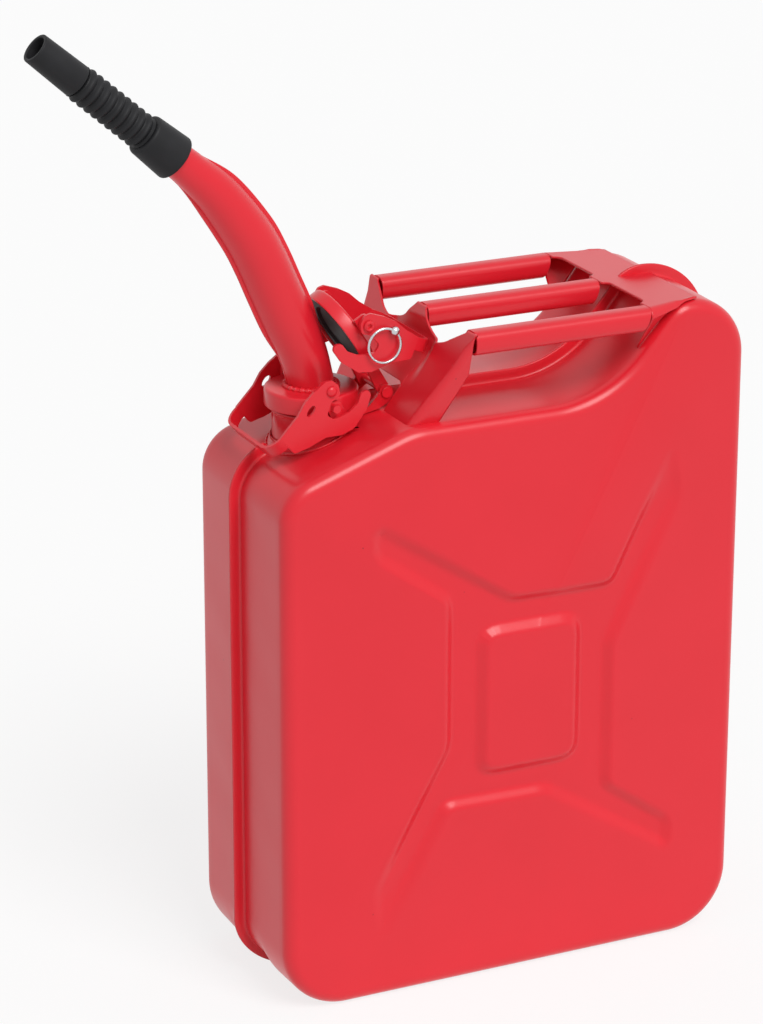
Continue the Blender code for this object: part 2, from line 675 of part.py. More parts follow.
def make_bracket(shop, can):
    """The collar welded round the neck, with two trunnion ears and two cheeks for the cap's hinge."""
    foot_z = NECK_FOOT_Z + FIN_STUB + GAP
    slope = (0, -SHOULDER_TILT, 0)
    inner = NECK_RADIUS - NECK_WALL
    profile = [(COLLAR_TOP_RADIUS, COLLAR_HEIGHT), (COLLAR_RADIUS, SHEET), (COLLAR_RADIUS, 0), (inner, 0),
               (inner, COLLAR_HEIGHT)]
    collar = shop.add("neck_bracket", turned_mesh("neck_bracket", profile), red_paint, can,
                      (NECK_X, 0, foot_z), slope)
    turn(collar)
    saddle = shop.add("saddle", box_mesh("saddle", (CHEEK_FRONT, -CHEEK_OUTSIDE, SHEET / 4),
                                         (FIN_CUT_RADIUS - 4 * GAP, CHEEK_OUTSIDE, SADDLE_THICKNESS)), None, can,
                      (NECK_X, 0, foot_z), slope)
    join(collar, saddle)

    def on_slope(x):
        return foot_z + (x - NECK_X) * math.tan(SHOULDER_TILT)

    front = NECK_X + LEG_FRONT
    rear = front + LEG_LENGTH
    eye = EAR_RADIUS
    sink = SHEET / 2
    soft = eye * ROUND_SHARE
    leg = [(front, on_slope(front) + sink, sink), (TRUNNION_X - eye, TRUNNION_Z - eye / 2, eye / 2),
           (TRUNNION_X - eye, TRUNNION_Z + eye, soft), (TRUNNION_X + eye, TRUNNION_Z + eye, soft),
           (rear, on_slope(rear) + sink, sink)]
    cheek_front = NECK_X + CHEEK_FRONT
    cheek_rear = cheek_front + CHEEK_LENGTH
    hinge = HINGE_EYE
    round_eye = hinge * ROUND_SHARE
    cheek = [(cheek_front, on_slope(cheek_front) + sink, sink), (HINGE_X - hinge, HINGE_Z, hinge / 2),
             (HINGE_X - hinge, HINGE_Z + hinge, round_eye), (HINGE_X + hinge, HINGE_Z + hinge, round_eye),
             (HINGE_X + hinge, HINGE_Z - hinge, hinge / 2), (cheek_rear, on_slope(cheek_rear) + sink, sink)]
    for side, word in ((-1, "near"), (1, "far")):
        ear = xz_plate(shop, "ear_" + word, leg, 3, EAR_INSIDE, EAR_INSIDE + EAR_THICKNESS, can, side)
        join(collar, ear)
        wall = xz_plate(shop, "cheek_" + word, cheek, 3, CHEEK_OUTSIDE - CHEEK_THICKNESS, CHEEK_OUTSIDE, can, side)
        join(collar, wall)
        low, high = EAR_INSIDE + EAR_THICKNESS / 2, LEVER_OUTSIDE + TRUNNION_OVERHANG
        stub = shop.add("trunnion_" + word, rod_mesh("trunnion", TRUNNION_RADIUS, low, high, "Y", PIN_STEPS), None,
                        can, (TRUNNION_X, 0, TRUNNION_Z), (0, 0, math.pi if side < 0 else 0))
        join(collar, stub)
    hole = shop.add("bracket_bore", rod_mesh("bracket_bore", NECK_RADIUS + GAP, -OVERRUN * 2, OVERRUN * 3), None,
                    can, (NECK_X, 0, NECK_FOOT_Z))
    cut(collar, hole)
    reach = CHEEK_OUTSIDE + OVERRUN
    bore = shop.add("hinge_bore", rod_mesh("hinge_bore", HINGE_PIN_RADIUS + GAP, -reach, reach, "Y", PIN_STEPS),
                    None, can, (HINGE_X, 0, HINGE_Z))
    cut(collar, bore)

    inner_end = CHEEK_OUTSIDE + GAP
    head = inner_end + HINGE_HEAD
    profile = [(0, head), (HINGE_HEAD_RADIUS, head), (HINGE_HEAD_RADIUS, inner_end), (HINGE_PIN_RADIUS, inner_end),
               (HINGE_PIN_RADIUS, -inner_end), (HINGE_HEAD_RADIUS, -inner_end), (HINGE_HEAD_RADIUS, -head),
               (0, -head)]
    pin = shop.add("lid_hinge_pin", turned_mesh("lid_hinge_pin", profile), red_paint, can,
                   (HINGE_X, 0, HINGE_Z), (math.pi / 2, 0, 0))
    turn(pin, PIN_STEPS)


def cap_profile(top, hole):
    """A pressed dish, open below, with a rounded edge; hole is the radius of its middle hole."""
    low = top - CAP_HEIGHT
    wall = CAP_RADIUS - CAP_SHEET
    return [(hole, top), (CAP_RADIUS - CAP_EDGE, top), (CAP_RADIUS, top - CAP_EDGE), (CAP_RADIUS, low),
            (wall, low), (wall, top - CAP_SHEET), (hole, top - CAP_SHEET)]


def add_lugs(shop, item, parent, top, rivet_x, rise):
    """Stand two riveted lugs on a dish's edge."""
    inside = CAP_RADIUS - LUG_THICKNESS
    low = top - CAP_SHEET / 2
    high = top + rise + LUG_HEAD
    half = LUG_HALF_LENGTH
    foot = CAP_SHEET / 4
    corners = [(rivet_x - half, low, foot), (rivet_x - half, high, LUG_HEAD),
               (rivet_x + half, high, LUG_HEAD), (rivet_x + half, low, foot)]
    for side, word in ((-1, "near"), (1, "far")):
        lug = xz_plate(shop, item.name + "_lug_" + word, corners, 4, inside, CAP_RADIUS, parent, side)
        join(item, lug)
    reach = CAP_RADIUS + OVERRUN
    bore = shop.add(item.name + "_rivet_bore", rod_mesh("bore", HOLE_RADIUS, -reach, reach, "Y", PIN_STEPS), None,
                    parent, (rivet_x, 0, top + rise))
    cut(item, bore)


def add_rivets(shop, prefix, parent, place):
    """Two shouldered rivets through the lugs and the lever's arms."""
    lug = CAP_RADIUS - LUG_THICKNESS - GAP
    inner = lug - RIVET_HEAD
    boss = CAP_RADIUS + GAP
    outer = LEVER_OUTSIDE + GAP
    profile = [(0, RIVET_TIP), (RIVET_HEAD_RADIUS * HEAD_SHARE, RIVET_TIP),
               (RIVET_HEAD_RADIUS, RIVET_TIP - RIVET_HEAD / 2),
               (RIVET_HEAD_RADIUS, outer), (RIVET_RADIUS, outer), (RIVET_RADIUS, boss + BOSS_LENGTH),
               (BOSS_RADIUS, boss + BOSS_LENGTH), (BOSS_RADIUS, boss), (RIVET_RADIUS, boss), (RIVET_RADIUS, lug),
               (RIVET_HEAD_RADIUS, lug), (RIVET_HEAD_RADIUS, inner), (0, inner)]
    for side, word in ((-1, "near"), (1, "far")):
        rivet = shop.add(prefix + "_rivet_" + word, turned_mesh("rivet", profile), red_paint, parent, place,
                         (-side * math.pi / 2, 0, 0))
        turn(rivet, PIN_STEPS)


def make_lever(shop, name, axis, reach):
    """A U-shaped lever; its own X runs from the rivets to the bridge and its hooks lie towards -Z."""
    scale = LEVER_SCALE
    bend = reach - BRIDGE_BEND
    small = LEVER_CORNER
    upper = [(x * scale, z * scale, small) for x, z in LEVER_UPPER_SHARES]
    end = [(bend, LEVER_END_TOP_SHARE * scale, small / 4), (bend, LEVER_END_FOOT_SHARE * scale, small),
           (bend - LEVER_WAIST, LEVER_WAIST_SHARE * scale, small)]
    hook = [(x * scale, z * scale, small) for x, z in LEVER_HOOK_SHARES]
    outline = upper + end + hook
    near = None
    arms = []
    for side, word in ((-1, "near"), (1, "far")):
        paint = red_paint if near is None else None
        arm_name = name if near is None else name + "_arm_" + word
        arm = xz_plate(shop, arm_name, outline, 2, LEVER_INSIDE, LEVER_OUTSIDE, axis, side, paint,
                       [(0, 0, HOLE_RADIUS)])
        near = near or arm
        arms.append(arm)
    join(near, arms[1])
    inner = LEVER_INSIDE + BRIDGE_SINK
    outer = LEVER_OUTSIDE - BRIDGE_SINK
    start = bend - small
    sections = [(start, -1, 0)]
    for side in (-1, 1):
        for k in range(BRIDGE_STEPS + 1):
            angle = math.pi / 2 * (k / BRIDGE_STEPS if side < 0 else 1 - k / BRIDGE_STEPS)
            sections.append((bend, side, angle))
    sections.append((start, 1, 0))
    rings = []
    for x, side, angle in sections:
        ring = []
        for width, z in ((outer, -BRIDGE_HEIGHT + BRIDGE_TOP), (inner, -BRIDGE_HEIGHT + BRIDGE_TOP),
                         (inner, BRIDGE_TOP), (outer, BRIDGE_TOP)):
            radius = BRIDGE_BEND - (outer - width)
            y = side * (outer - BRIDGE_BEND + radius * math.cos(angle))
            ring.append((x + radius * math.sin(angle), y, z))
        rings.append(ring)
    bridge = shop.add(name + "_bridge", loft_mesh(name + "_bridge", rings), None, axis)
    join(near, bridge)
    return near


def make_lid(shop, can):
    """The cap with its hinge arms and gasket, leaning back on the hinge's axis."""
    hinge = shop.empty("lid_axis", can, (HINGE_X, 0, HINGE_Z), (0, CAP_ANGLE, 0))
    middle = (-CAP_REACH, 0, 0)
    lid = turn(shop.add("lid", turned_mesh("lid", cap_profile(CAP_TOP, 0)), red_paint, hinge, middle))
    eye = HINGE_EYE
    outside = CHEEK_OUTSIDE - CHEEK_THICKNESS - RUNNING_GAP
    root = math.sqrt((CAP_RADIUS - CAP_SHEET) ** 2 - (outside - CHEEK_THICKNESS) ** 2) - CAP_REACH
    top = CAP_TOP - SHEET / 4
    soft = eye * ROUND_SHARE
    arm = [(root, top - CAP_ARM_HEIGHT, SHEET), (root, top, SHEET), (0, eye, soft), (eye, eye, soft),
           (eye, -eye, soft), (0, -eye, soft)]
    for side, word in ((-1, "near"), (1, "far")):
        piece = xz_plate(shop, "hinge_arm_" + word, arm, 3, outside - CHEEK_THICKNESS, outside, hinge, side)
        join(lid, piece)
    bore = shop.add("lid_bore", rod_mesh("lid_bore", HINGE_PIN_RADIUS + GAP, -CHEEK_OUTSIDE, CHEEK_OUTSIDE, "Y",
                                         PIN_STEPS), None, hinge)
    cut(lid, bore)
    rivet_x = LID_RIVET_SHIFT - CAP_REACH
    add_lugs(shop, lid, hinge, CAP_TOP, rivet_x, LID_RIVET_RISE)
    low = CAP_TOP - CAP_HEIGHT + GASKET_RECESS
    high = CAP_TOP - CAP_SHEET - GAP
    radius = CAP_RADIUS - CAP_SHEET - GAP
    profile = [(0, high), (radius, high), (radius, low), (0, low)]
    turn(shop.add("lid_gasket", turned_mesh("lid_gasket", profile), black_rubber, hinge, middle))
    rivet_place = (rivet_x, 0, CAP_TOP + LID_RIVET_RISE)
    add_rivets(shop, "lid", hinge, rivet_place)
    axis = shop.empty("lid_lever_axis", hinge, rivet_place, (0, LID_LEVER_ANGLE - CAP_ANGLE, 0))
    lever = make_lever(shop, "lid_lever", axis, LID_LEVER_REACH)
    make_pin(shop, axis, lever)


def make_pin(shop, axis, lever):
    """The locking pin through the near arm of the cap's lever, and the split ring in its head."""
    neck = LEVER_OUTSIDE + GAP
    head = neck + PIN_HEAD_LENGTH
    profile = [(0, head), (PIN_HEAD_RADIUS * HEAD_SHARE, head), (PIN_HEAD_RADIUS, head - PIN_HEAD_LENGTH / 5),
               (PIN_HEAD_RADIUS, neck), (PIN_RADIUS, neck), (PIN_RADIUS, LEVER_INSIDE - PIN_INSIDE),
               (0, LEVER_INSIDE - PIN_INSIDE)]
    place = (PIN_ALONG, 0, PIN_ABOVE)
    pin = shop.add("locking_pin", turned_mesh("locking_pin", profile), bright_zinc, axis, place,
                   (math.pi / 2, 0, 0))
    turn(pin, PIN_STEPS)
    bore_mesh = rod_mesh("pin_bore", PIN_RADIUS + GAP, -LEVER_OUTSIDE - OVERRUN, 0, "Y", PIN_STEPS)
    bore = shop.add("pin_bore", bore_mesh, None, axis, place)
    cut(lever, bore)
    ring_y = -(neck + PIN_HEAD_LENGTH * RING_PLACE_SHARE)
    pivot = shop.empty("ring_axis", axis, (PIN_ALONG, ring_y, PIN_ABOVE), (0, RING_ANGLE - LID_LEVER_ANGLE, 0))
    hole = shop.add("ring_hole", rod_mesh("ring_hole", RING_HOLE, -OVERRUN, OVERRUN, "Z", PIN_STEPS), None, pivot)
    cut(pin, hole)
    bpy.ops.mesh.primitive_torus_add(major_radius=RING_RADIUS, minor_radius=RING_WIRE,
                                     major_segments=RING_SEGMENTS, minor_segments=RING_SIDES)
    torus = bpy.context.object
    mesh = torus.data
    bpy.data.objects.remove(torus, do_unlink=True)
    mesh.transform(Matrix.Translation((RING_RADIUS, 0, 0)) @ Matrix.Rotation(math.pi / 2, 4, "X"))
    mesh.shade_smooth()
    shop.add("split_ring", mesh, bright_zinc, pivot)


def make_spout_base(shop, can):
    """The dish that sits on the neck, its gasket and its rivets."""
    bore = SPOUT_RADIUS * SPOUT_RADIUS_SHARES[0] - SPOUT_SHEET
    foot = SPOUT_RADIUS * SPOUT_RADIUS_SHARES[0] + GAP
    top = BASE_TOP
    profile = cap_profile(top, bore)
    lip = foot + WELD_LEAN
    shoulder = top + WELD_HEIGHT * WELD_SHOULDER_SHARE
    weld = [(lip, top + WELD_HEIGHT), (lip + WELD_WIDTH / 3, shoulder), (lip + WELD_WIDTH, top)]
    profile = [(bore, top), (foot, top)] + weld + profile[1:]
    base = turn(shop.add("spout_base", turned_mesh("spout_base", profile), red_paint, can, (NECK_X, 0, 0)))
    add_lugs(shop, base, can, top, SPOUT_RIVET_X, RIVET_RISE)
    low = NECK_TOP + GAP
    high = top - CAP_SHEET - GAP
    outer = CAP_RADIUS - CAP_SHEET - GAP
    inner = NECK_RADIUS - 2 * NECK_WALL
    profile = [(outer, high), (outer, low), (inner, low), (inner, high)]
    turn(shop.add("spout_gasket", turned_mesh("spout_gasket", profile), black_rubber, can, (NECK_X, 0, 0)))
    add_rivets(shop, "spout", can, (SPOUT_RIVET_X, 0, SPOUT_RIVET_Z))
    axis = shop.empty("spout_lever_axis", can, (SPOUT_RIVET_X, 0, SPOUT_RIVET_Z), (0, SPOUT_LEVER_ANGLE, math.pi))
    make_lever(shop, "spout_lever", axis, SPOUT_LEVER_REACH)


def spout_place(t):
    """A point of the spout's middle line and its radius; t runs from 0 at the base to 1 at the sleeve."""
    x = NOZZLE_X + SPOUT_RUN * (1 - read_shares([p[0] for p in SPOUT_PATH_SHARES], t))
    z = BASE_TOP + GAP + SPOUT_RISE * read_shares([p[1] for p in SPOUT_PATH_SHARES], t)
    return Vector((x, 0, z)), SPOUT_RADIUS * read_shares(SPOUT_RADIUS_SHARES, t)


def spout_stations(number, overhang):
    """Places, side directions, radii and fin heights along the tube, ending inside the sleeve."""
    along = Vector((-math.sin(NOZZLE_ANGLE), 0, math.cos(NOZZLE_ANGLE)))
    stations = []
    for i in range(number + 1):
        t = i / number
        here, radius = spout_place(t)
        ahead, _ = spout_place(min(1, t + TANGENT_STEP))
        behind, _ = spout_place(max(0, t - TANGENT_STEP))
        heading = (ahead - behind).normalized()
        blend = max(0.0, min(1.0, (t - STRAIGHT_FROM) / (1 - STRAIGHT_FROM)))
        heading = heading.lerp(along, blend).normalized()
        if i == 0:
            heading = Vector((0, 0, 1))
        side = Vector((heading.z, 0, -heading.x))
        stations.append((here, side, radius, read_shares(FIN_SHARES, t)))
    here, side, radius, fin = stations[-1]
    stations.append((here + along * overhang, side, radius, fin))
    return stations


def make_spout_tube(shop, can):
    """Two pressed halves of the tube, each with a thin seam fin on both edges."""
    stations = spout_stations(SPOUT_SECTIONS, SLEEVE_GRIP - GAP)
    for side, word in ((-1, "near"), (1, "far")):
        rings = []
        for here, across, radius, fin in stations:
            inner = radius - SPOUT_SHEET
            tip = radius + SPOUT_FIN * max(fin, FIN_SHARES[0])
            y = GAP / 2
            ring = [(tip, y), (tip, y + SPOUT_SHEET * SPOUT_FIN_SHEET_SHARE)]
            first = math.asin((y + SPOUT_SHEET * SPOUT_FIN_SHEET_SHARE) / radius)
            for k in range(SPOUT_ARC + 1):
                angle = first + (math.pi - 2 * first) * k / SPOUT_ARC
                ring.append((radius * math.cos(angle), radius * math.sin(angle)))
            ring += [(-tip, y + SPOUT_SHEET * SPOUT_FIN_SHEET_SHARE), (-tip, y)]
            low = math.asin(y / inner)
            for k in range(SPOUT_ARC + 1):
                angle = math.pi - low - (math.pi - 2 * low) * k / SPOUT_ARC
                ring.append((inner * math.cos(angle), inner * math.sin(angle)))
            rings.append([tuple(here + across * a + Vector((0, side * b, 0))) for a, b in ring])
        name = "spout_tube_" + word
        shop.add(name, loft_mesh(name, rings), red_paint, can)

    points = [Vector((NECK_X + NECK_RADIUS / 3, 0, BASE_BOTTOM - AIR_TUBE_DROP))]
    for here, across, radius, _ in spout_stations(AIR_TUBE_SECTIONS, 0)[:-1]:
        lean = radius - SPOUT_SHEET - AIR_TUBE_RADIUS - 2 * GAP
        points.append(here + across * lean)
    points[0].x = points[1].x
    pipe = shop.add("spout_air_tube", pipe_mesh("spout_air_tube", points, AIR_TUBE_RADIUS), bright_zinc, can)
    points[0] = points[0] - Vector((0, 0, OVERRUN))
    points[-1] = points[-1] + (points[-1] - points[-2])
    hollow = shop.add("air_bore", pipe_mesh("air_bore", points, AIR_TUBE_RADIUS - AIR_TUBE_WALL), None, can)
    cut(pipe, hollow)


def make_breather(shop, can):
    """The breather pipe inside the can, from the neck to the air space under the hump."""
    start = NECK_X + NECK_RADIUS + GAP
    under = DIP_HEIGHT - SHEET - BREATHER_DEPTH
    neck_z = NECK_FOOT_Z - NECK_DROP / 2
    high = HUMP_HEIGHT - SHEET - BREATHER_DEPTH
    bend = BREATHER_RADIUS * 4
    rise = CREST_X
    points = [(start, 0, neck_z), (start + bend, 0, neck_z), (start + 2 * bend, 0, under),
              (rise - RISE_LENGTH, 0, under), (rise - RISE_LENGTH / 3, 0, under + bend), (rise, 0, high - bend),
              (BREATHER_REAR, 0, high), (BREATHER_REAR + bend / 2, 0, high)]
    pipe = shop.add("breather_pipe", pipe_mesh("breather_pipe", points, BREATHER_RADIUS), bright_zinc, can)
    low, last = Vector(points[0]), Vector(points[-1])
    points[0] = low - Vector((OVERRUN, 0, 0))
    points[-1] = last + Vector((OVERRUN, 0, 0))
    hollow = shop.add("breather_bore", pipe_mesh("breather_bore", points, BREATHER_RADIUS - BREATHER_WALL), None,
                      can)
    cut(pipe, hollow)


def make_nozzle(shop, can):
    """The black rubber sleeve, ribbed hose and tip, all on one slanted axis."""
    axis = shop.empty("nozzle_axis", can, (NOZZLE_X, 0, NOZZLE_Z), (0, -NOZZLE_ANGLE, 0))
    grip = SPOUT_RADIUS * SPOUT_RADIUS_SHARES[-1] + SPOUT_FIN * FIN_SHARES[0] + GAP
    top = SLEEVE_LENGTH - GAP
    profile = [(SLEEVE_TOP_RADIUS - SLEEVE_EDGE, top), (SLEEVE_TOP_RADIUS, top - SLEEVE_EDGE),
               (SLEEVE_FOOT_RADIUS, SLEEVE_EDGE), (SLEEVE_FOOT_RADIUS - SLEEVE_EDGE, 0), (grip, 0),
               (grip, SLEEVE_GRIP), (NOZZLE_BORE, SLEEVE_GRIP), (NOZZLE_BORE, top)]
    turn(shop.add("nozzle_sleeve", turned_mesh("nozzle_sleeve", profile), black_rubber, axis))

    points = [(0, 0, SLEEVE_LENGTH)]
    radii = [HOSE_GROOVE_RADIUS]
    pitch = HOSE_LENGTH / (HOSE_RIBS + 0.5)
    for i in range(HOSE_RIBS):
        middle = SLEEVE_LENGTH + pitch * (i + 0.75)
        points += [(0, 0, middle - pitch / 4), (0, 0, middle + pitch / 4)]
        radii += [HOSE_GROOVE_RADIUS, HOSE_RIB_RADIUS]
    points.append((0, 0, SLEEVE_LENGTH + HOSE_LENGTH - GAP))
    radii.append(HOSE_GROOVE_RADIUS)
    hose = shop.add("nozzle_ribbed_hose", pipe_mesh("nozzle_ribbed_hose", points, HOSE_RIB_RADIUS, radii),
                    black_rubber, axis)
    ends = [(0, 0, SLEEVE_LENGTH - OVERRUN), (0, 0, SLEEVE_LENGTH + HOSE_LENGTH + OVERRUN)]
    cut(hose, shop.add("hose_bore", pipe_mesh("hose_bore", ends, NOZZLE_BORE), None, axis))

    bend = shop.empty("nozzle_bend_axis", axis, (0, 0, HOSE_MIDDLE))
    low = HOSE_LENGTH / 2
    high = low + TIP_LENGTH
    step = high - TIP_STEP
    profile = [(TIP_RADIUS - SLEEVE_EDGE / 2, high), (TIP_RADIUS, high - SLEEVE_EDGE / 2), (TIP_RADIUS, low),
               (NOZZLE_BORE, low), (NOZZLE_BORE, step), (TIP_BORE, step), (TIP_BORE, high)]
    turn(shop.add("nozzle_tip", turned_mesh("nozzle_tip", profile), black_rubber, bend), TIP_TURN_STEPS)


def rounded_rectangle(low_x, high_x, half, front_corner):
    """A rectangle in plan whose two corners towards -X are rounded."""
    small = front_corner / 10
    corners = [(low_x, -half, front_corner), (low_x, half, front_corner), (high_x, half, small),
               (high_x, -half, small)]
    return rounded(corners, (4, 4, 1, 1))


def handle_shell(shop, can, name, levels, walls):
    """A thin pressed hood: rings of the outside, less the same rings set in by the sheet."""
    outside = shop.add(name, loft_mesh(name, levels, smooth=False), red_paint, can)
    inside = shop.add(name + "_inside", loft_mesh(name + "_inside", walls, smooth=False), None, can)
    cut(outside, inside)
    return outside


def gap_outline(start, end, corner):
    """The gap between two bars in plan, from start to end along X, round at both ends."""
    low = BAR_WIDTH / 2
    high = BAR_SPACING - BAR_WIDTH / 2
    return rounded([(start, low, corner), (start, high, corner), (end, high, corner), (end, low, corner)], 4)


def make_front_sheet(shop, can):
    """The handle's front: a leaning sheet with returned sides and an arch between the bars."""
    foot = DIP_HEIGHT + GAP
    top = HANDLE_HEIGHT
    edge = BAR_CORNER / 2
    half_top = BAR_SPACING + BAR_WIDTH / 2
    back = FRONT_KNEE_X + FRONT_RETURN
    levels = [(foot, FRONT_FOOT_X, FRONT_FOOT_X + FRONT_FOOT_DEPTH, FRONT_FOOT_WIDTH),
              (FRONT_KNEE_Z, FRONT_KNEE_X, back, FRONT_KNEE_WIDTH),
              (top - 2 * edge, FRONT_KNEE_X, back, half_top),
              (top - edge / 2, FRONT_KNEE_X + edge / 2, back, half_top),
              (top, FRONT_KNEE_X + 2 * edge, back, half_top - edge)]

    def ring(z, low_x, high_x, half, inset, longer):
        plan = rounded_rectangle(low_x + inset, high_x + longer, half - inset, FRONT_CORNER - inset)
        return [(x, y, z) for x, y in plan]

    outside = [ring(z, a, b, half, 0, 0) for z, a, b, half in levels]
    wall = BAR_SHEET
    inner = [ring(foot - OVERRUN, FRONT_FOOT_X, levels[0][2], FRONT_FOOT_WIDTH, wall, OVERRUN)]
    inner += [ring(z - wall * (i > 2), a, b, half, wall, OVERRUN) for i, (z, a, b, half) in enumerate(levels)]
    sheet = handle_shell(shop, can, "handle_front_sheet", outside, inner)
    room_half = half_top + OVERRUN
    room_low = (BAR_FRONT - GAP, -room_half, top - BAR_HEIGHT - GAP)
    room = shop.add("bar_room", box_mesh("bar_room", room_low, (0, room_half, top + OVERRUN)), None, can)
    cut(sheet, room)
    low, high = BAR_WIDTH / 2, BAR_SPACING - BAR_WIDTH / 2
    arch = [(low, FRONT_KNEE_Z, SCALLOP_CORNER), (low, top + OVERRUN, SHEET), (high, top + OVERRUN, SHEET),
            (high, FRONT_KNEE_Z, SCALLOP_CORNER)]
    slot = [(-FIN_SLOT, foot - OVERRUN, SHEET), (-FIN_SLOT, foot + FIN_HEIGHT + FIN_SLOT, FIN_SLOT * ROUND_SHARE),
            (FIN_SLOT, foot + FIN_HEIGHT + FIN_SLOT, FIN_SLOT * ROUND_SHARE), (FIN_SLOT, foot - OVERRUN, SHEET)]
    depth = FRONT_FOOT_DEPTH + 2 * OVERRUN
    for word, corners, side in (("near", arch, -1), ("far", arch, 1), ("fin", slot, 1)):
        loop = [(side * y, z) for y, z in rounded(corners, 4)]
        mesh = plate_mesh("opening", [loop], depth * 2)
        tool = shop.add("front_opening_" + word, mesh, None, can, (FRONT_KNEE_X, 0, 0), (0, 0, math.pi / 2))
        cut(sheet, tool)


def make_bars(shop, can):
    """Three rolled bars, hollow from end to end."""
    top = HANDLE_HEIGHT
    low = top - BAR_HEIGHT
    for i, word in enumerate(("near", "centre", "far")):
        y = (i - 1) * BAR_SPACING
        rings = {}
        for name, inset, longer in (("out", 0, 0), ("in", BAR_SHEET, OVERRUN)):
            half = BAR_WIDTH / 2 - inset
            corner = BAR_CORNER - inset
            corners = [(-half, low + inset, corner), (-half, top - inset, corner), (half, top - inset, corner),
                       (half, low + inset, corner)]
            section = rounded(corners, BAR_STEPS)
            rings[name] = [[(x, y + a, z) for a, z in section] for x in (BAR_FRONT - longer, BAR_REAR + longer)]
        title = "handle_bar_" + word
        bar = shop.add(title, loft_mesh(title, rings["out"]), red_paint, can)
        cut(bar, shop.add(title + "_bore", loft_mesh(title + "_bore", rings["in"]), None, can))


def make_rear_plate(shop, can):
    """The handle's rear: a plate over the hump whose sides lean in and follow the body's rise."""
    top = HANDLE_HEIGHT
    start = BAR_REAR + GAP
    wall = BAR_SHEET
    half_top = BAR_SPACING + BAR_WIDTH / 2
    clearance = 2 * GAP
    stations = []
    for share in REAR_STATION_SHARES:
        x = start + REAR_LENGTH * share
        half = half_top + (REAR_WIDTH - half_top) * share
        foot = REAR_SIDE_FOOT + (REAR_WIDTH - REAR_SIDE_FOOT) * share
        low = min(top_height(x, clearance), top - wall)
        stations.append((x, half, foot, low))

    def ring(x, half, foot, low, high):
        edge = min(BAR_CORNER / 2, (high - low) * EDGE_SHARE)
        return [(x, -foot, low), (x, -half, high - edge), (x, -half + edge, high), (x, half - edge, high),
                (x, half, high - edge), (x, foot, low)]

    outside = [ring(x, half, foot, low, top) for x, half, foot, low in stations]
    inside = []
    for i, (x, half, foot, low) in enumerate(stations):
        shift = OVERRUN * ((i == len(stations) - 1) - (i == 0))
        inside.append(ring(x + shift, half - wall, foot - wall, low - OVERRUN, top - wall))
    plate = handle_shell(shop, can, "handle_rear_plate", outside, inside)
    slot_start = start + REAR_SLOT
    slot_end = start + REAR_LENGTH + OVERRUN
    soft = FIN_SLOT * ROUND_SHARE
    slot = rounded([(slot_start, -FIN_SLOT, soft), (slot_start, FIN_SLOT, soft),
                    (slot_end, FIN_SLOT, SHEET), (slot_end, -FIN_SLOT, SHEET)], 3)
    gap = gap_outline(start - BAR_SPACING / 2, start + REAR_CUTOUT, REAR_CORNER)
    for word, loop in (("near", [(x, -y) for x, y in gap]), ("far", gap), ("fin", slot)):
        mesh = plate_mesh("opening", [loop], BAR_HEIGHT * 2)
        tool = shop.add("rear_opening_" + word, mesh, None, can, (0, 0, top), (-math.pi / 2, 0, 0))
        cut(plate, tool)


def main():
    shop = Workshop()
    can = shop.empty("can_frame", None, (CENTRE_SHIFT, 0, 0))
    halves = [make_body_half(shop, can, "body_half_front", -1), make_body_half(shop, can, "body_half_back", 1)]
    make_neck(shop, can, halves)
    make_bracket(shop, can)
    make_lid(shop, can)
    make_spout_base(shop, can)
    make_spout_tube(shop, can)
    make_breather(shop, can)
    make_nozzle(shop, can)
    make_front_sheet(shop, can)
    make_bars(shop, can)
    make_rear_plate(shop, can)


if __name__ == "__main__":
    main()
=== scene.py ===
"""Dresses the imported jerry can: pressed steel in red enamel, black rubber nozzle, plated pin and ring.

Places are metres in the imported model's frame: +Z up, the mouth towards -X and the front panel towards -Y.
"""

import math
from contextlib import contextmanager

import bmesh
import bpy
import numpy as np
from bpy.props import FloatProperty, FloatVectorProperty, IntProperty, PointerProperty
from mathutils import Matrix, Vector


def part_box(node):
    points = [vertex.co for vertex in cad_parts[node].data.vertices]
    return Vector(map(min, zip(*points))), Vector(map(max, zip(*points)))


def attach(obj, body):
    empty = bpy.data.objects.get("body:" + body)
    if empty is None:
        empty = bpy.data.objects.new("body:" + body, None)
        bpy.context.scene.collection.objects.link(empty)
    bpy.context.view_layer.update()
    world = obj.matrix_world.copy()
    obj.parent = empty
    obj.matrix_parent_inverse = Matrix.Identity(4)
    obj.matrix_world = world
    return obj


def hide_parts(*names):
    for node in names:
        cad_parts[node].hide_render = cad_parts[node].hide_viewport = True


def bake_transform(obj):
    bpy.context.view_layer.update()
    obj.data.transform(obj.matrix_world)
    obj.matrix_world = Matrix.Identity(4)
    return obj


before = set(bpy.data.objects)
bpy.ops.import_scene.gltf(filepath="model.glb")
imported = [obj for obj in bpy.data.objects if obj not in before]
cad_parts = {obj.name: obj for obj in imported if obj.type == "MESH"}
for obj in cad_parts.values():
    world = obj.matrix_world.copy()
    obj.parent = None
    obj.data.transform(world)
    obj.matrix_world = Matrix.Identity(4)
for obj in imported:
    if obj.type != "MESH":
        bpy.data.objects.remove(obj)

bl_info = {
    "name": "Jerry can dresser",
    "version": (1, 0, 0),
    "blender": (4, 5, 0),
    "location": "View3D > Sidebar > Jerry can",
    "description": "Builds the visible surfaces of a steel jerry can with its pouring spout",
    "category": "Object",
}

FINE_STEPS = 96
SMALL_STEPS = 36
SHARP_ANGLE = math.radians(38)
SAME_PLACE = 0.00001
PINHOLE = 0.00005
CLEARANCE = 0.0003
# the most of an edge that one rounded corner takes
EDGE_SHARE = 0.45
SIDES = (("near", -1), ("far", 1))


# Sizes that a user would change

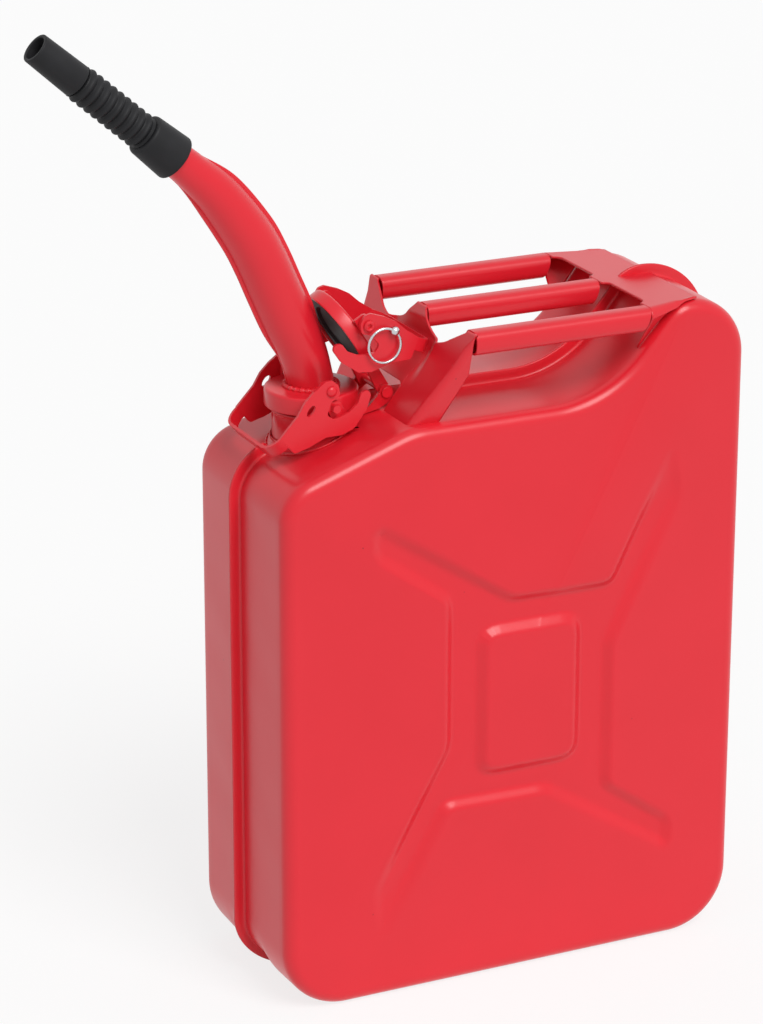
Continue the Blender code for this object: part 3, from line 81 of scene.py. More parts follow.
def length(name, default, text):
    """A length property in metres."""
    return FloatProperty(name=name, default=default, description=text, min=0.0, unit="LENGTH", precision=5)


def whole_number(name, default, text):
    """A property that counts rows or ribs."""
    return IntProperty(name=name, default=default, description=text, min=2)


class CanBodySizes(bpy.types.PropertyGroup):
    """Sizes of the two pressed body halves."""
    shoulder_length: length("Shoulder length", 0.0935, "Length of the sloping shoulder that carries the neck")
    dip_length: length("Dip length", 0.1433, "Length of the low top under the handle")
    rise_length: length("Rise length", 0.050, "Length over which the top climbs to the hump")
    hump_length: length("Hump length", 0.0522, "Length of the high rear of the top")
    dip_height: length("Dip height", 0.4005, "Height of the low top")
    hump_rise: length("Hump rise", 0.060, "Height of the hump over the low top")
    shoulder_drop: length("Shoulder drop", 0.0331, "How far the shoulder falls to the narrow side")
    depth: length("Panel depth", 0.140, "Distance between the two panels' edges")
    edge: length("Edge radius", 0.009, "Radius between the walls and the panels")
    crown: length("Crown", 0.009, "How far the panels bulge at their middle")
    sheet: length("Sheet", 0.0012, "Thickness of the steel sheet")
    fin: length("Seam fin", 0.008, "Height of the welded seam's fin")
    emboss: length("Emboss depth", 0.0048, "Depth of the pressed pattern on the panels")
    emboss_slope: length("Emboss slope", 0.0085, "Width of the pressed pattern's sloping sides")
    ripple: length("Ripple", 0.00035, "Height of the soft waves that pressing leaves in the walls")
    across: whole_number("Panel rows", 130, "Rows of faces from a panel's edge to its middle")


class CanSpoutSizes(bpy.types.PropertyGroup):
    """Sizes of the neck, cap and spout."""
    neck_setback: length("Neck setback", 0.042, "Distance from the brow of the shoulder to the neck's axis")
    neck_rise: length("Neck rise", 0.01837, "Height of the neck over the shoulder")
    neck_radius: length("Neck radius", 0.026, "Outer radius of the neck")
    cap_radius: length("Cap radius", 0.031, "Outer radius of the cap and of the spout's base")
    cap_height: length("Cap height", 0.0095, "Height of the cap's rim")
    run: length("Spout run", 0.0925, "How far the spout's tube leans out")
    rise: length("Spout rise", 0.1612, "How high the spout's tube climbs")
    tube_radius: length("Tube radius", 0.0165, "Radius of the spout's tube at its middle")
    tube_fin: length("Tube fin", 0.0032, "Height of the seam fins on the spout's tube")
    sections: whole_number("Tube rows", 96, "Rows of faces along the spout's tube")


class CanNozzleSizes(bpy.types.PropertyGroup):
    """Sizes of the rubber nozzle."""
    sleeve_length: length("Sleeve length", 0.028, "Length of the sleeve that grips the tube")
    hose_length: length("Hose length", 0.057, "Length of the ribbed hose")
    tip_length: length("Tip length", 0.036, "Length of the smooth tip")
    rib_radius: length("Rib radius", 0.0120, "Radius of the hose over its ribs")
    groove_radius: length("Groove radius", 0.0098, "Radius of the hose between its ribs")
    bore: length("Bore", 0.0070, "Radius of the bore")
    ribs: whole_number("Ribs", 9, "Number of ribs on the hose")


def linear(code):
    """Turn an sRGB hex code into linear red, green and blue with alpha."""
    values = [int(code[i:i + 2], 16) / 255 for i in (1, 3, 5)]
    return [v / 12.92 if v <= 0.04045 else ((v + 0.055) / 1.055) ** 2.4 for v in values] + [1.0]


def colour(name, code, text):
    """A colour property whose default is an sRGB hex code."""
    return FloatVectorProperty(name=name, default=linear(code), description=text, size=4, min=0.0, max=1.0,
                               subtype="COLOR")


class CanFinishes(bpy.types.PropertyGroup):
    """Colours, and the stage's light."""
    enamel: colour("Enamel", "#E02231", "Red of the baked enamel")
    enamel_deep: colour("Deep enamel", "#DA1E2C", "Red of the enamel where the coat is thicker")
    rubber: colour("Rubber", "#1E1E20", "Black of the moulded rubber")
    zinc: colour("Zinc", "#CFD1D4", "Colour of the bright zinc plate")
    ground: colour("Floor", "#F9F9F9", "Colour of the floor")
    key: FloatProperty(name="Key light", default=0.68, min=0.0,
                       description="Light of the main softbox on a white surface that faces it")
    sky: FloatProperty(name="Room light", default=0.38, min=0.0,
                       description="Strength of the room's even light")


# Materials; each pattern's scale comes from the width of its cells in metres

CLOUD_WIDTH = 0.07143
# the spacing of dust in the solid, and the shares of it where a speck is dark and where it is gone
DUST_SPACING = 0.03846
SPECK_DARK, SPECK_GONE = 0.010, 0.018
COAT_WAVE = 0.01818
PEEL_WIDTH = 0.00122
BLOOM_WIDTH = 0.01667
GRAIN_WIDTH = 0.000417
MARK_WIDTH = 0.00111
# real paper fibres are finer; drawn 3 mm long they show at all
FIBRE_SIZE = 0.003125
# share of plain white in what is seen of the floor
SEEN_WHITE = 0.80


def feed(node, inputs=None, links=None):
    """Set socket values of a node and link sockets of other nodes into it."""
    for key, value in (inputs or {}).items():
        node.inputs[key].default_value = value
    for key, (source, socket) in (links or {}).items():
        node.id_data.links.new(source.outputs[socket], node.inputs[key])


def add_node(tree, kind, settings=None, inputs=None, links=None, stops=()):
    """Add a node with its properties, socket values, links and colour stops."""
    made = tree.nodes.new(kind)
    for key, value in (settings or {}).items():
        setattr(made, key, value)
    feed(made, inputs, links)
    for number, (place, tone) in enumerate(stops):
        made.color_ramp.elements[number].position = place
        made.color_ramp.elements[number].color = tone
    return made


def new_material(name):
    """A new material with its tree, its shader and the link that gives a pattern its place on the object."""
    made = bpy.data.materials.new(name)
    made.use_nodes = True
    tree = made.node_tree
    place = add_node(tree, "ShaderNodeTexCoord")
    return made, tree, tree.nodes["Principled BSDF"], {"Vector": (place, "Object")}


def scaled(tone, factor):
    """A colour with its red, green and blue times a factor."""
    return [v * factor for v in tone[:3]] + [1.0]


def baked_enamel(finishes):
    """Baked enamel on pressed steel, sprayed: a soft gloss with clouds where the coat is thicker, slow waves
    and an orange peel."""
    made, tree, shader, spot = new_material("baked red enamel, sprayed")
    cloud = add_node(tree, "ShaderNodeTexNoise", inputs={"Scale": 1 / CLOUD_WIDTH, "Detail": 3.0}, links=spot)
    tint = add_node(tree, "ShaderNodeValToRGB", links={"Fac": (cloud, "Fac")},
                    stops=((0.1, finishes.enamel_deep), (0.9, finishes.enamel)))
    # dust under the coat: the few points that lie within 0.7 mm of the surface show as specks
    dust = add_node(tree, "ShaderNodeTexVoronoi", inputs={"Scale": 1 / DUST_SPACING}, links=spot)
    dark = add_node(tree, "ShaderNodeValToRGB", links={"Fac": (dust, "Distance")},
                    stops=((SPECK_DARK, (0.35, 0.30, 0.30, 1)), (SPECK_GONE, (1, 1, 1, 1))))
    mixed = add_node(tree, "ShaderNodeMix", {"data_type": "RGBA", "blend_type": "MULTIPLY"}, {0: 0.6},
                     {6: (tint, "Color"), 7: (dark, "Color")})
    rough = add_node(tree, "ShaderNodeMapRange", inputs={"To Min": 0.27, "To Max": 0.33},
                     links={"Value": (cloud, "Fac")})
    wave = add_node(tree, "ShaderNodeTexNoise", inputs={"Scale": 1 / COAT_WAVE, "Detail": 1.0}, links=spot)
    peel = add_node(tree, "ShaderNodeTexNoise", inputs={"Scale": 1 / PEEL_WIDTH, "Detail": 2.0}, links=spot)
    low = add_node(tree, "ShaderNodeBump", inputs={"Strength": 0.12, "Distance": 0.0006},
                   links={"Height": (wave, "Fac")})
    fine = add_node(tree, "ShaderNodeBump", inputs={"Strength": 0.10, "Distance": 0.00008},
                    links={"Height": (peel, "Fac"), "Normal": (low, "Normal")})
    feed(shader, {"IOR": 1.46},
         {"Base Color": (mixed, 2), "Roughness": (rough, "Result"), "Normal": (fine, "Normal")})
    return made


def moulded_rubber(finishes):
    """Moulded EPDM rubber: matt, with a sandy mould grain and a faint dusty bloom."""
    made, tree, shader, spot = new_material("moulded black rubber")
    bloom = add_node(tree, "ShaderNodeTexNoise", inputs={"Scale": 1 / BLOOM_WIDTH, "Detail": 4.0}, links=spot)
    tint = add_node(tree, "ShaderNodeValToRGB", links={"Fac": (bloom, "Fac")},
                    stops=((0.38, finishes.rubber), (0.75, scaled(finishes.rubber, 1.5))))
    rough = add_node(tree, "ShaderNodeMapRange", links={"Value": (bloom, "Fac")},
                     inputs={"From Min": 0.3, "From Max": 0.7, "To Min": 0.50, "To Max": 0.62})
    grain = add_node(tree, "ShaderNodeTexNoise", inputs={"Scale": 1 / GRAIN_WIDTH, "Detail": 2.0}, links=spot)
    bump = add_node(tree, "ShaderNodeBump", inputs={"Strength": 0.25, "Distance": 0.0001},
                    links={"Height": (grain, "Fac")})
    feed(shader, {"IOR": 1.5, "Specular IOR Level": 0.22},
         {"Base Color": (tint, "Color"), "Roughness": (rough, "Result"), "Normal": (bump, "Normal")})
    return made


def zinc_plate(finishes):
    """Bright zinc plate on drawn wire: a mirror with a soft haze and fine drawing marks."""
    made, tree, shader, spot = new_material("bright zinc plate")
    mark = add_node(tree, "ShaderNodeTexNoise", inputs={"Scale": 1 / MARK_WIDTH, "Detail": 2.0}, links=spot)
    tint = add_node(tree, "ShaderNodeValToRGB", links={"Fac": (mark, "Fac")},
                    stops=((0.3, scaled(finishes.zinc, 0.88)), (0.7, finishes.zinc)))
    rough = add_node(tree, "ShaderNodeMapRange", links={"Value": (mark, "Fac")},
                     inputs={"From Min": 0.3, "From Max": 0.7, "To Min": 0.16, "To Max": 0.30})
    feed(shader, {"Metallic": 1.0}, {"Base Color": (tint, "Color"), "Roughness": (rough, "Result")})
    return made


def paper_floor(finishes):
    """White background paper, uncoated and matt; what the camera sees of it is mostly plain white, and the
    rest keeps the shadow."""
    made, tree, shader, spot = new_material("white background paper")
    fibre = add_node(tree, "ShaderNodeTexNoise", inputs={"Scale": 1 / FIBRE_SIZE, "Detail": 3.0}, links=spot)
    tint = add_node(tree, "ShaderNodeValToRGB", links={"Fac": (fibre, "Fac")},
                    stops=((0.2, scaled(finishes.ground, 0.99)), (0.8, finishes.ground)))
    feed(shader, {"Roughness": 0.9, "Specular IOR Level": 0.1}, {"Base Color": (tint, "Color")})
    white = add_node(tree, "ShaderNodeEmission", inputs={"Color": (1, 1, 1, 1), "Strength": 1.0})
    share = add_node(tree, "ShaderNodeMath", {"operation": "MULTIPLY"}, {1: SEEN_WHITE},
                     {0: (seen_by(tree), 0)})
    mixed = add_node(tree, "ShaderNodeMixShader", links={0: (share, 0), 1: (shader, "BSDF"), 2: (white, 0)})
    feed(tree.nodes["Material Output"], links={"Surface": (mixed, 0)})
    return made


def seen_by(tree):
    """1 where the camera, a reflection or a clear thing looks at the surface, 0 where it lights others."""
    path = add_node(tree, "ShaderNodeLightPath")
    first = add_node(tree, "ShaderNodeMath", {"operation": "MAXIMUM"},
                     links={0: (path, "Is Camera Ray"), 1: (path, "Is Glossy Ray")})
    return add_node(tree, "ShaderNodeMath", {"operation": "MAXIMUM"},
                    links={0: (first, 0), 1: (path, "Is Transmission Ray")})


MAKERS = {"red_enamel": baked_enamel, "black_rubber": moulded_rubber, "bright_zinc": zinc_plate}


def finish_of(slot):
    """The one material of a finish, made when it is first asked for."""
    key = "finish_" + slot
    held = bpy.context.scene.get(key)
    if held is None:
        held = MAKERS[slot](bpy.context.scene.can_finishes)
        bpy.context.scene[key] = held
    return held


# Small helpers for surfaces

def add_object(name, data):
    """Make an object of a mesh, a light or a camera and put it in the scene."""
    made = bpy.data.objects.new(name, data)
    bpy.context.scene.collection.objects.link(made)
    return made


def smooth_object(name, mesh):
    """Shade a mesh smooth but for its sharp edges and make its object."""
    mesh.shade_smooth()
    mesh.set_sharp_from_angle(angle=SHARP_ANGLE)
    return add_object(name, mesh)


@contextmanager
def editing(mesh):
    """Open a mesh as a bmesh and write it back at the end."""
    work = bmesh.new()
    work.from_mesh(mesh)
    yield work
    work.to_mesh(mesh)
    work.free()


def quads(rows, wrap, ring):
    """Faces between rows of points (n, m, 3): wrap closes each row, ring joins the last row to the first."""
    count, width = rows.shape[:2]
    i, j = np.meshgrid(np.arange(count - (not ring)), np.arange(width - (not wrap)), indexing="ij")
    i2, j2 = (i + 1) % count, (j + 1) % width
    faces = np.stack([i * width + j, i * width + j2, i2 * width + j2, i2 * width + j], -1)
    return faces.reshape(-1, 4).tolist()


def skin(name, rows, ends="flat"):
    """A closed surface of quads between closed rows. Its ends are a ring, where the last row joins the first,
    a flat face each, or a fan each round the row's middle."""
    count, width = rows.shape[:2]
    points, last, total = rows.reshape(-1, 3), (count - 1) * width, count * width
    faces = quads(rows, True, ends == "ring")
    if ends == "flat":
        faces += [list(range(width)), list(range(last, total))]
    if ends == "fan":
        points = np.vstack([points, rows[[0, -1]].mean(axis=1)])
        around = np.arange(width)
        for base, tip in ((0, total), (last, total + 1)):
            faces += np.stack([base + around, base + (around + 1) % width, np.full(width, tip)], -1).tolist()
    mesh = bpy.data.meshes.new(name)
    mesh.from_pydata(points.tolist(), [], faces)
    with editing(mesh) as work:
        bmesh.ops.recalc_face_normals(work, faces=work.faces)
        if work.calc_volume(signed=True) < 0:
            bmesh.ops.reverse_faces(work, faces=work.faces)
    return smooth_object(name, mesh)


def dress(piece, body, *nodes, slot="red_enamel", bevel=0.0):
    """Give a piece its body, the nodes that it replaces, its finish and soft edges."""
    piece.data.materials.clear()
    piece.data.materials.append(finish_of(slot))
    if bevel:
        soft = piece.modifiers.new("soft edges", "BEVEL")
        soft.width = bevel
        soft.segments = 2
        soft.limit_method = "ANGLE"
        soft.angle_limit = SHARP_ANGLE
        soft.harden_normals = True
    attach(piece, body)
    if nodes:
        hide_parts(*nodes)


def pressed_copy(node, name):
    """A node's own surface with its loose triangles merged and its flats joined up."""
    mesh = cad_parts[node].data.copy()
    mesh.name = name
    with editing(mesh) as work:
        bmesh.ops.remove_doubles(work, verts=work.verts, dist=SAME_PLACE)
        bmesh.ops.dissolve_limit(work, angle_limit=math.radians(1), verts=work.verts, edges=work.edges)
    return smooth_object(name, mesh)


def place_rows(rows, matrix):
    """Move points (..., 3) by a 4x4 matrix."""
    matrix = np.array(matrix)
    return rows @ matrix[:3, :3].T + matrix[:3, 3]


def soften(points, radius, steps=5):
    """Round each corner b of a closed outline by the curve (1-t)^2 a + 2t(1-t) b + t^2 c, where a and c lie
    on its edges at most radius away and short of the edge's middle."""
    points = np.asarray(points, float)
    before, after = np.roll(points, 1, 0) - points, np.roll(points, -1, 0) - points
    gone, come = np.linalg.norm(before, axis=1), np.linalg.norm(after, axis=1)
    a = points + before * (np.minimum(radius, gone * EDGE_SHARE) / gone)[:, None]
    c = points + after * (np.minimum(radius, come * EDGE_SHARE) / come)[:, None]
    t = np.linspace(0, 1, steps + 1)[None, :, None]
    curves = (1 - t) ** 2 * a[:, None] + 2 * t * (1 - t) * points[:, None] + t ** 2 * c[:, None]
    return curves.reshape(-1, 2)


def revolved(name, profile, matrix, steps=FINE_STEPS, solid=False):
    """Turn a profile of (radius, height) once round Z: (r cos a, r sin a, h). A solid one starts and ends on
    the axis, with a pinhole that a fan closes."""
    profile = np.asarray(profile, float)
    if solid:
        profile = np.maximum(profile, [[PINHOLE, -np.inf]])
    angle = np.arange(steps) * 2 * np.pi / steps
    rows = np.stack([profile[:, :1] * np.cos(angle), profile[:, :1] * np.sin(angle),
                     np.repeat(profile[:, 1:], steps, 1)], -1)
    return skin(name, place_rows(rows, matrix), "fan" if solid else "ring")


def plate(name, outline, near, far, matrix):
    """A flat plate: an outline (x, z) carried along Y from near to far."""
    x, z = outline.T
    rows = np.stack([np.column_stack([x, np.full_like(x, y), z]) for y in (near, far)])
    return skin(name, place_rows(rows, matrix))


def part_way(low, high, value):
    """0 below low, 1 above high and straight between them."""
    return np.clip((value - low) / (high - low), 0, 1)


def smooth_step(low, high, value):
    """0 below low, 1 above high and 3u^2 - 2u^3 between them."""
    u = part_way(low, high, value)
    return u * u * (3 - 2 * u)


def read_shares(shares, t):
    """Read a smooth value at t, 0 to 1, from evenly numbered shares, by Catmull and Rom's cubic."""
    shares = np.asarray(shares, float)
    last = len(shares) - 1
    padded = np.concatenate([[2 * shares[0] - shares[1]], shares, [2 * shares[-1] - shares[-2]]])
    i = np.minimum((t * last).astype(int), last - 1)
    u = t * last - i
    p, a, b, n = (padded[i + k] for k in range(4))
    return (2 * a + (b - p) * u + (2 * p - 5 * a + 4 * b - n) * u ** 2 + (3 * a - p - 3 * b + n) * u ** 3) / 2


# The can's own places, which every piece reads

# how far the seal lifts the spout's base off the neck
SEAL_LIFT = 0.0035


class Places:
    """Places worked out from the sizes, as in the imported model."""

    def __init__(self):
        scene = bpy.context.scene
        body, spout = scene.can_body, scene.can_spout
        self.body, self.spout, self.nozzle = body, spout, scene.can_nozzle
        self.half = (body.shoulder_length + body.dip_length + body.rise_length + body.hump_length) / 2
        self.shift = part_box("body_half_front")[1].x - body.fin - self.half
        self.hump_height = body.dip_height + body.hump_rise
        self.shoulder_height = body.dip_height - body.shoulder_drop
        self.brow = -self.half + body.shoulder_length
        self.crest = self.brow + body.dip_length + body.rise_length
        self.tilt = math.atan2(body.shoulder_drop, body.shoulder_length)
        self.neck_x = self.brow - spout.neck_setback
        self.neck_foot = self.shoulder_height + (self.neck_x + self.half) * math.tan(self.tilt)
        self.neck_top = self.neck_foot + spout.neck_rise
        self.base_top = self.neck_top + SEAL_LIFT + spout.cap_height
        self.frame = Matrix.Translation((self.shift, 0, 0))

    def at(self, x, z, turn=0.0):
        """The frame at a place of the can, turned about Y."""
        return self.frame @ Matrix.Translation((x, 0, z)) @ Matrix.Rotation(turn, 4, "Y")


FOOT_RADIUS = 0.045
CORNER_RADII = (FOOT_RADIUS, 0.030, 0.060, 0.085, 0.020, 0.041, FOOT_RADIUS)
CORNER_POINTS = (26, 20, 12, 26, 14, 26, 26)
COLUMN_SPACING = 0.0048


def body_outline(places):
    """Points and outward normals round the body: arcs about each corner's own centre, and straight lines."""
    body = places.body
    half, dip, hump = places.half, body.dip_height, places.hump_height
    corners = np.array([(-half, 0), (-half, places.shoulder_height), (places.brow, dip),
                        (places.brow + body.dip_length, dip), (places.crest, hump), (half, hump), (half, 0)])
    ways = corners - np.roll(corners, 1, 0)
    ways /= np.linalg.norm(ways, axis=1)[:, None]
    leaving = np.roll(ways, -1, 0)
    arcs, faced = [], []
    for here, way, leave, radius, number in zip(corners, ways, leaving, CORNER_RADII, CORNER_POINTS):
        out = np.array([-way[1], way[0]])
        convex = 1 if leave @ out < 0 else -1
        turn = math.acos(np.clip(way @ leave, -1, 1))
        centre = here - way * radius * math.tan(turn / 2) - convex * out * radius
        angle = math.atan2(out[1], out[0]) - convex * turn * np.linspace(0, 1, number + 1)
        faced.append(np.column_stack([np.cos(angle), np.sin(angle)]))
        arcs.append(centre + convex * radius * faced[-1])
    points, normals = [], []
    for arc, normal, following in zip(arcs, faced, arcs[1:] + arcs[:1]):
        line = following[0] - arc[-1]
        number = max(2, int(np.linalg.norm(line) / COLUMN_SPACING))
        share = np.linspace(0, 1, number + 1)[1:-1, None]
        points += [arc, arc[-1] + line * share]
        normals += [normal, np.repeat(normal[-1:], len(share), 0)]
    return np.vstack(points), np.vstack(normals)


BAND_HALF = np.array([0.0575, 0.0725])
BAND_CORNER = 0.007
BLOCK_HALF = np.array([0.036, 0.051])
BLOCK_CORNER = 0.013
# the upper half of the band's outline with two of its four arms, in half widths and half heights of the band;
# the lower half is this one turned round the middle
ARM_SHARES = ((-1.04, 1.07), (-1.93, 1.57), (-1.92, 1.84), (-0.25, 0.98),
              (1.06, 0.96), (1.85, 2.16), (1.95, 1.72), (1.04, 0.38))
ARM_REACH = 2.45
# how much of its depth an arm loses, and where the loss starts and ends in half widths
LONG_FADE = (0.80, 1.35, 2.15)
SHORT_FADE = (0.25, 1.5, 1.95)
EMBOSS_X = 0.0065
EMBOSS_LIFT = 0.00425


def distance_inside(spots, outline):
    """Distance of each spot (n, 2) from a closed outline, positive inside it: the nearest edge, signed by
    how many edges a ray to the right crosses."""
    along = np.roll(outline, -1, 0) - outline
    offset = spots[:, None] - outline
    share = np.clip((offset * along).sum(-1) / (along ** 2).sum(-1), 0, 1)
    nearest = np.sqrt(((offset - share[..., None] * along) ** 2).sum(-1).min(1))
    rises = (offset[..., 1] < 0) != (offset[..., 1] < along[:, 1])
    slope = np.where(np.abs(along[:, 1]) < 1e-12, 1e-12, along[:, 1])
    inside = (rises & (offset[..., 0] < offset[..., 1] / slope * along[:, 0])).sum(1) % 2 == 1
    return np.where(inside, nearest, -nearest)


def bevel_step(width, value):
    """0 below -width / 2, 1 above width / 2: mostly a straight slope, with soft ends."""
    return 0.35 * part_way(-width / 2, width / 2, value) + 0.65 * smooth_step(-width / 2, width / 2, value)


def emboss_depth(places, x, z):
    """How deep the pressed pattern is at (x, z): a band with four arms that fade out, less a middle block."""
    body = places.body
    arms = np.array(ARM_SHARES) * BAND_HALF
    band = soften(np.vstack([arms, -arms]), BAND_CORNER)
    block = soften(np.array([(-1, -1), (-1, 1), (1, 1), (1, -1)]) * BLOCK_HALF, BLOCK_CORNER)
    spots = np.column_stack([np.ravel(x) - EMBOSS_X, np.ravel(z) - body.dip_height / 2 - EMBOSS_LIFT])
    close = (np.abs(spots) < BAND_HALF * ARM_REACH).all(1)
    near = spots[close]
    sunk = bevel_step(body.emboss_slope, distance_inside(near, band))
    raised = bevel_step(body.emboss_slope, distance_inside(near, block))
    out = np.abs(near / BAND_HALF).max(1)
    # the two long arms, upper right and lower left, run out softly; the short ones stop
    lost = [loss * smooth_step(begin, end, out) for loss, begin, end in (LONG_FADE, SHORT_FADE)]
    fade = 1 - np.where(near[:, 0] * near[:, 1] > 0, *lost)
    depth = np.zeros(len(spots))
    depth[close] = body.emboss * sunk * (1 - raised) * fade
    return depth.reshape(np.shape(x))


FOOT_CHANNEL = 0.020
FOOT_INNER = 0.034
FOOT_RAISE = 0.008
WALL_DRAFT = 0.0015
PANEL_ROUND = 0.19
PANEL_MIDDLE = 0.012
# the seam's gap on one side, and its fin: low round the neck, full past FIN_CUT from it, round at its root
SEAM = 0.00015
FIN_LOW = 0.0004
FIN_CUT = 0.0300
FIN_FADE = 0.0012
FIN_ROOT = 0.0022
# depth where the wall gives way to the fin's root
WALL_FOOT = 0.0042
# waves in the walls: share, radians a metre up and along, and shift
RIPPLES = ((1.0, 78, 0, 1.3), (0.7, 131, 40, 1.0), (0.6, 23, 92, 0.0))


def body_half(places, name, side):
    """One pan. Its rows run from the panel's middle over the edge, the wall and the fin, and back inside:
    a row is the outline moved out by its growth, or a share of the panel's edge on the crown."""
    body = places.body
    base, normal = body_outline(places)
    x0, z0 = base.T
    wall_end = body.depth / 2 - body.edge
    from_neck = np.hypot(x0 - places.neck_x, z0 - places.neck_foot)
    fin = FIN_LOW + (body.fin - FIN_LOW) * smooth_step(FIN_CUT, FIN_CUT + FIN_FADE, from_neck)
    wave = sum(share * np.sin(z0 * up + x0 * along + side * shift) for share, up, along, shift in RIPPLES) / 2

    def ring(depth, growth):
        """The outline at a depth from the seam's plane, moved out by growth."""
        draft = WALL_DRAFT * max(0.0, 1 - depth / wall_end) * np.abs(normal[:, 0]) * (np.min(growth) <= 0)
        height = body.ripple * math.sin(math.pi * min(1.0, depth / wall_end)) * (depth < wall_end)
        x, z = (base + normal * (growth + draft + height * wave)[:, None]).T
        lift = FOOT_RAISE * smooth_step(FOOT_INNER, FOOT_CHANNEL, depth)
        z = np.where(z < FOOT_RADIUS, lift + z * (FOOT_RADIUS - lift) / FOOT_RADIUS, z)
        return np.column_stack([x, np.full(len(z), side * depth), z])

    def panel(shares, inset):
        """Rows of the crowned panel at shares of the way to its edge, inset from the outer face."""
        edge = ring(body.depth / 2, -body.edge)
        middle = np.array([0, side * body.depth / 2, places.hump_height / 2])
        # rows are near circles at the middle and take the outline's form towards the edge
        reach = np.linalg.norm(edge - middle, axis=1)
        part = shares[:, None] * (PANEL_ROUND * (1 - shares[:, None]) / reach + shares[:, None])
        rows = middle + (edge - middle) * part[..., None]
        left = 1 - part ** 2
        bulge = body.crown * (left + left ** 2) / 2
        sink = emboss_depth(places, rows[..., 0], rows[..., 2])
        rows[..., 1] = side * (body.depth / 2 - inset + bulge - sink)
        return rows

    def corner(radius, growth, angles):
        """Pairs of depth and growth round the edge between the wall and the panel."""
        return [(wall_end + radius * math.sin(a), growth - radius * (1 - math.cos(a))) for a in angles]

    # pairs of depth and growth from the panel's edge to the seam, and back along the inside
    quarter, thick, inside = math.pi / 2, SEAM + body.sheet, -body.sheet
    pairs = corner(body.edge, 0, np.linspace(quarter, 0, 8)[1:])
    for begin, end, number in ((wall_end, FOOT_INNER, 7), (FOOT_INNER, FOOT_CHANNEL, 7),
                               (FOOT_CHANNEL, WALL_FOOT, 5)):
        pairs += [(depth, 0) for depth in np.linspace(begin, end, number)[1:]]
    pairs += [(thick + FIN_ROOT * (1 - math.sin(a)), fin.clip(0, FIN_ROOT) * (1 - math.cos(a)))
              for a in np.linspace(0, quarter, 5)[1:]]
    pairs += [(thick, fin * 0.5), (thick, fin * 0.9)]
    pairs += [(thick - body.sheet * 0.7 * (1 - math.cos(a)), fin * (0.9 + 0.1 * math.sin(a)))
              for a in np.linspace(0, quarter, 4)[1:]]
    pairs += [(SEAM, fin), (SEAM, inside)]
    pairs += [(depth, inside)
              for depth in (0.01, FOOT_CHANNEL, (FOOT_CHANNEL + FOOT_INNER) / 2, FOOT_INNER, wall_end)]
    pairs += corner(body.edge - body.sheet, inside, (0.52, 1.05))
    rows = np.concatenate([panel(np.linspace(PANEL_MIDDLE, 1, body.across), 0),
                           [ring(*pair) for pair in pairs],
                           panel(np.linspace(1, PANEL_MIDDLE, body.across // 2), body.sheet)])
    return skin(name, place_rows(rows, places.frame), "fan")


class CAN_OT_body(bpy.types.Operator):
    """Makes the two pressed body halves"""
    bl_idname = "can.body"
    bl_label = "Body halves"

    def execute(self, context):
        for word, side in (("front", -1), ("back", 1)):
            dress(body_half(Places(), "pressed_half_" + word, side), "can", "body_half_" + word)
        return {"FINISHED"}


# Neck, bracket, cap and spout

DISH_SHEET = 0.0016
# a gasket lies this far inside its dish's outer faces; the cap's is a flat disc with a raised sealing ring
GASKET_INSET = DISH_SHEET + CLEARANCE
GASKET_DEPTH = 0.006
GASKET_CHAMFER = 0.0012
GASKET_RING = 0.007
GASKET_SLOPE = 0.0020
GASKET_STEP = 0.0018
LUG_HALF = 0.006
LUG_THICK = 0.0024
# a lug's sides start in its dish, and its round head stands over the rivet
LUG_SINK = 0.0008
LUG_HEAD = 0.005


def rounded_dish(places, top, hole, deeper=0.0):
    """Profile of a pressed dish, open below, with a soft upper edge; hole is its middle hole's radius."""
    edge, low, under = places.spout.cap_radius, top - places.spout.cap_height - deeper, top - DISH_SHEET
    wall = edge - DISH_SHEET
    return soften([(hole, top), (edge, top), (edge, low), (wall, low), (wall, under), (hole, under)],
                  [0.0004, 0.0026, 0.0007, 0.0007, 0.0012, 0.0004])


def lugs(prefix, places, matrix, x, top, rise, body):
    """Two lugs with round heads on a dish's edge."""
    edge, left, right = places.spout.cap_radius, x - LUG_HALF, x + LUG_HALF
    low, high = top - LUG_SINK, top + rise + LUG_HEAD
    outline = soften([(left, low), (left, high), (right, high), (right, low)],
                     [0.0002, 0.0052, 0.0052, 0.0002], 8)
    for word, side in SIDES:
        made = plate(prefix + "_lug_" + word, outline, side * (edge - LUG_THICK), side * edge, matrix)
        dress(made, body, bevel=0.0005)


def weld_bead(name, matrix, radius, lift, thick, ripples):
    """A hand-laid weld: a ring whose section swells by k ripples as it goes round,
    r = thick (1 + 0.16 sin(k a) + 0.08 sin(2.3 k a))."""
    a = np.linspace(0, 2 * np.pi, ripples * 8, endpoint=False)[:, None]
    b = np.linspace(0, 2 * np.pi, 12, endpoint=False)[None, :]
    r = thick * (1 + 0.16 * np.sin(ripples * a) + 0.08 * np.sin(round(ripples * 2.3) * a))
    out = radius + r * np.cos(b)
    rows = np.stack([out * np.cos(a), out * np.sin(a), r * np.sin(b) + lift], -1)
    dress(skin(name, place_rows(rows, matrix), "ring"), "can")


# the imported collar's rim and the crown of its slope, and the radii that they are drawn in to
COLLAR_RIM, SLIM_RIM = 0.040, 0.0300
COLLAR_CROWN, SLIM_CROWN = 0.031, 0.0272
RIM_TOP = 0.0014
CROWN_HEIGHT = 0.0045
COLLAR_MARGIN = 0.0004
EAR_SIDE = 0.031
EAR_FOOT = 0.0012
EAR_DROP = 0.0018
# the bracket's plane lies this far over the shoulder's middle line
SHOULDER_LIFT = 0.0007
NECK_WALL = 0.004
NECK_DEPTH = 0.018
NECK_LIP = 0.0012
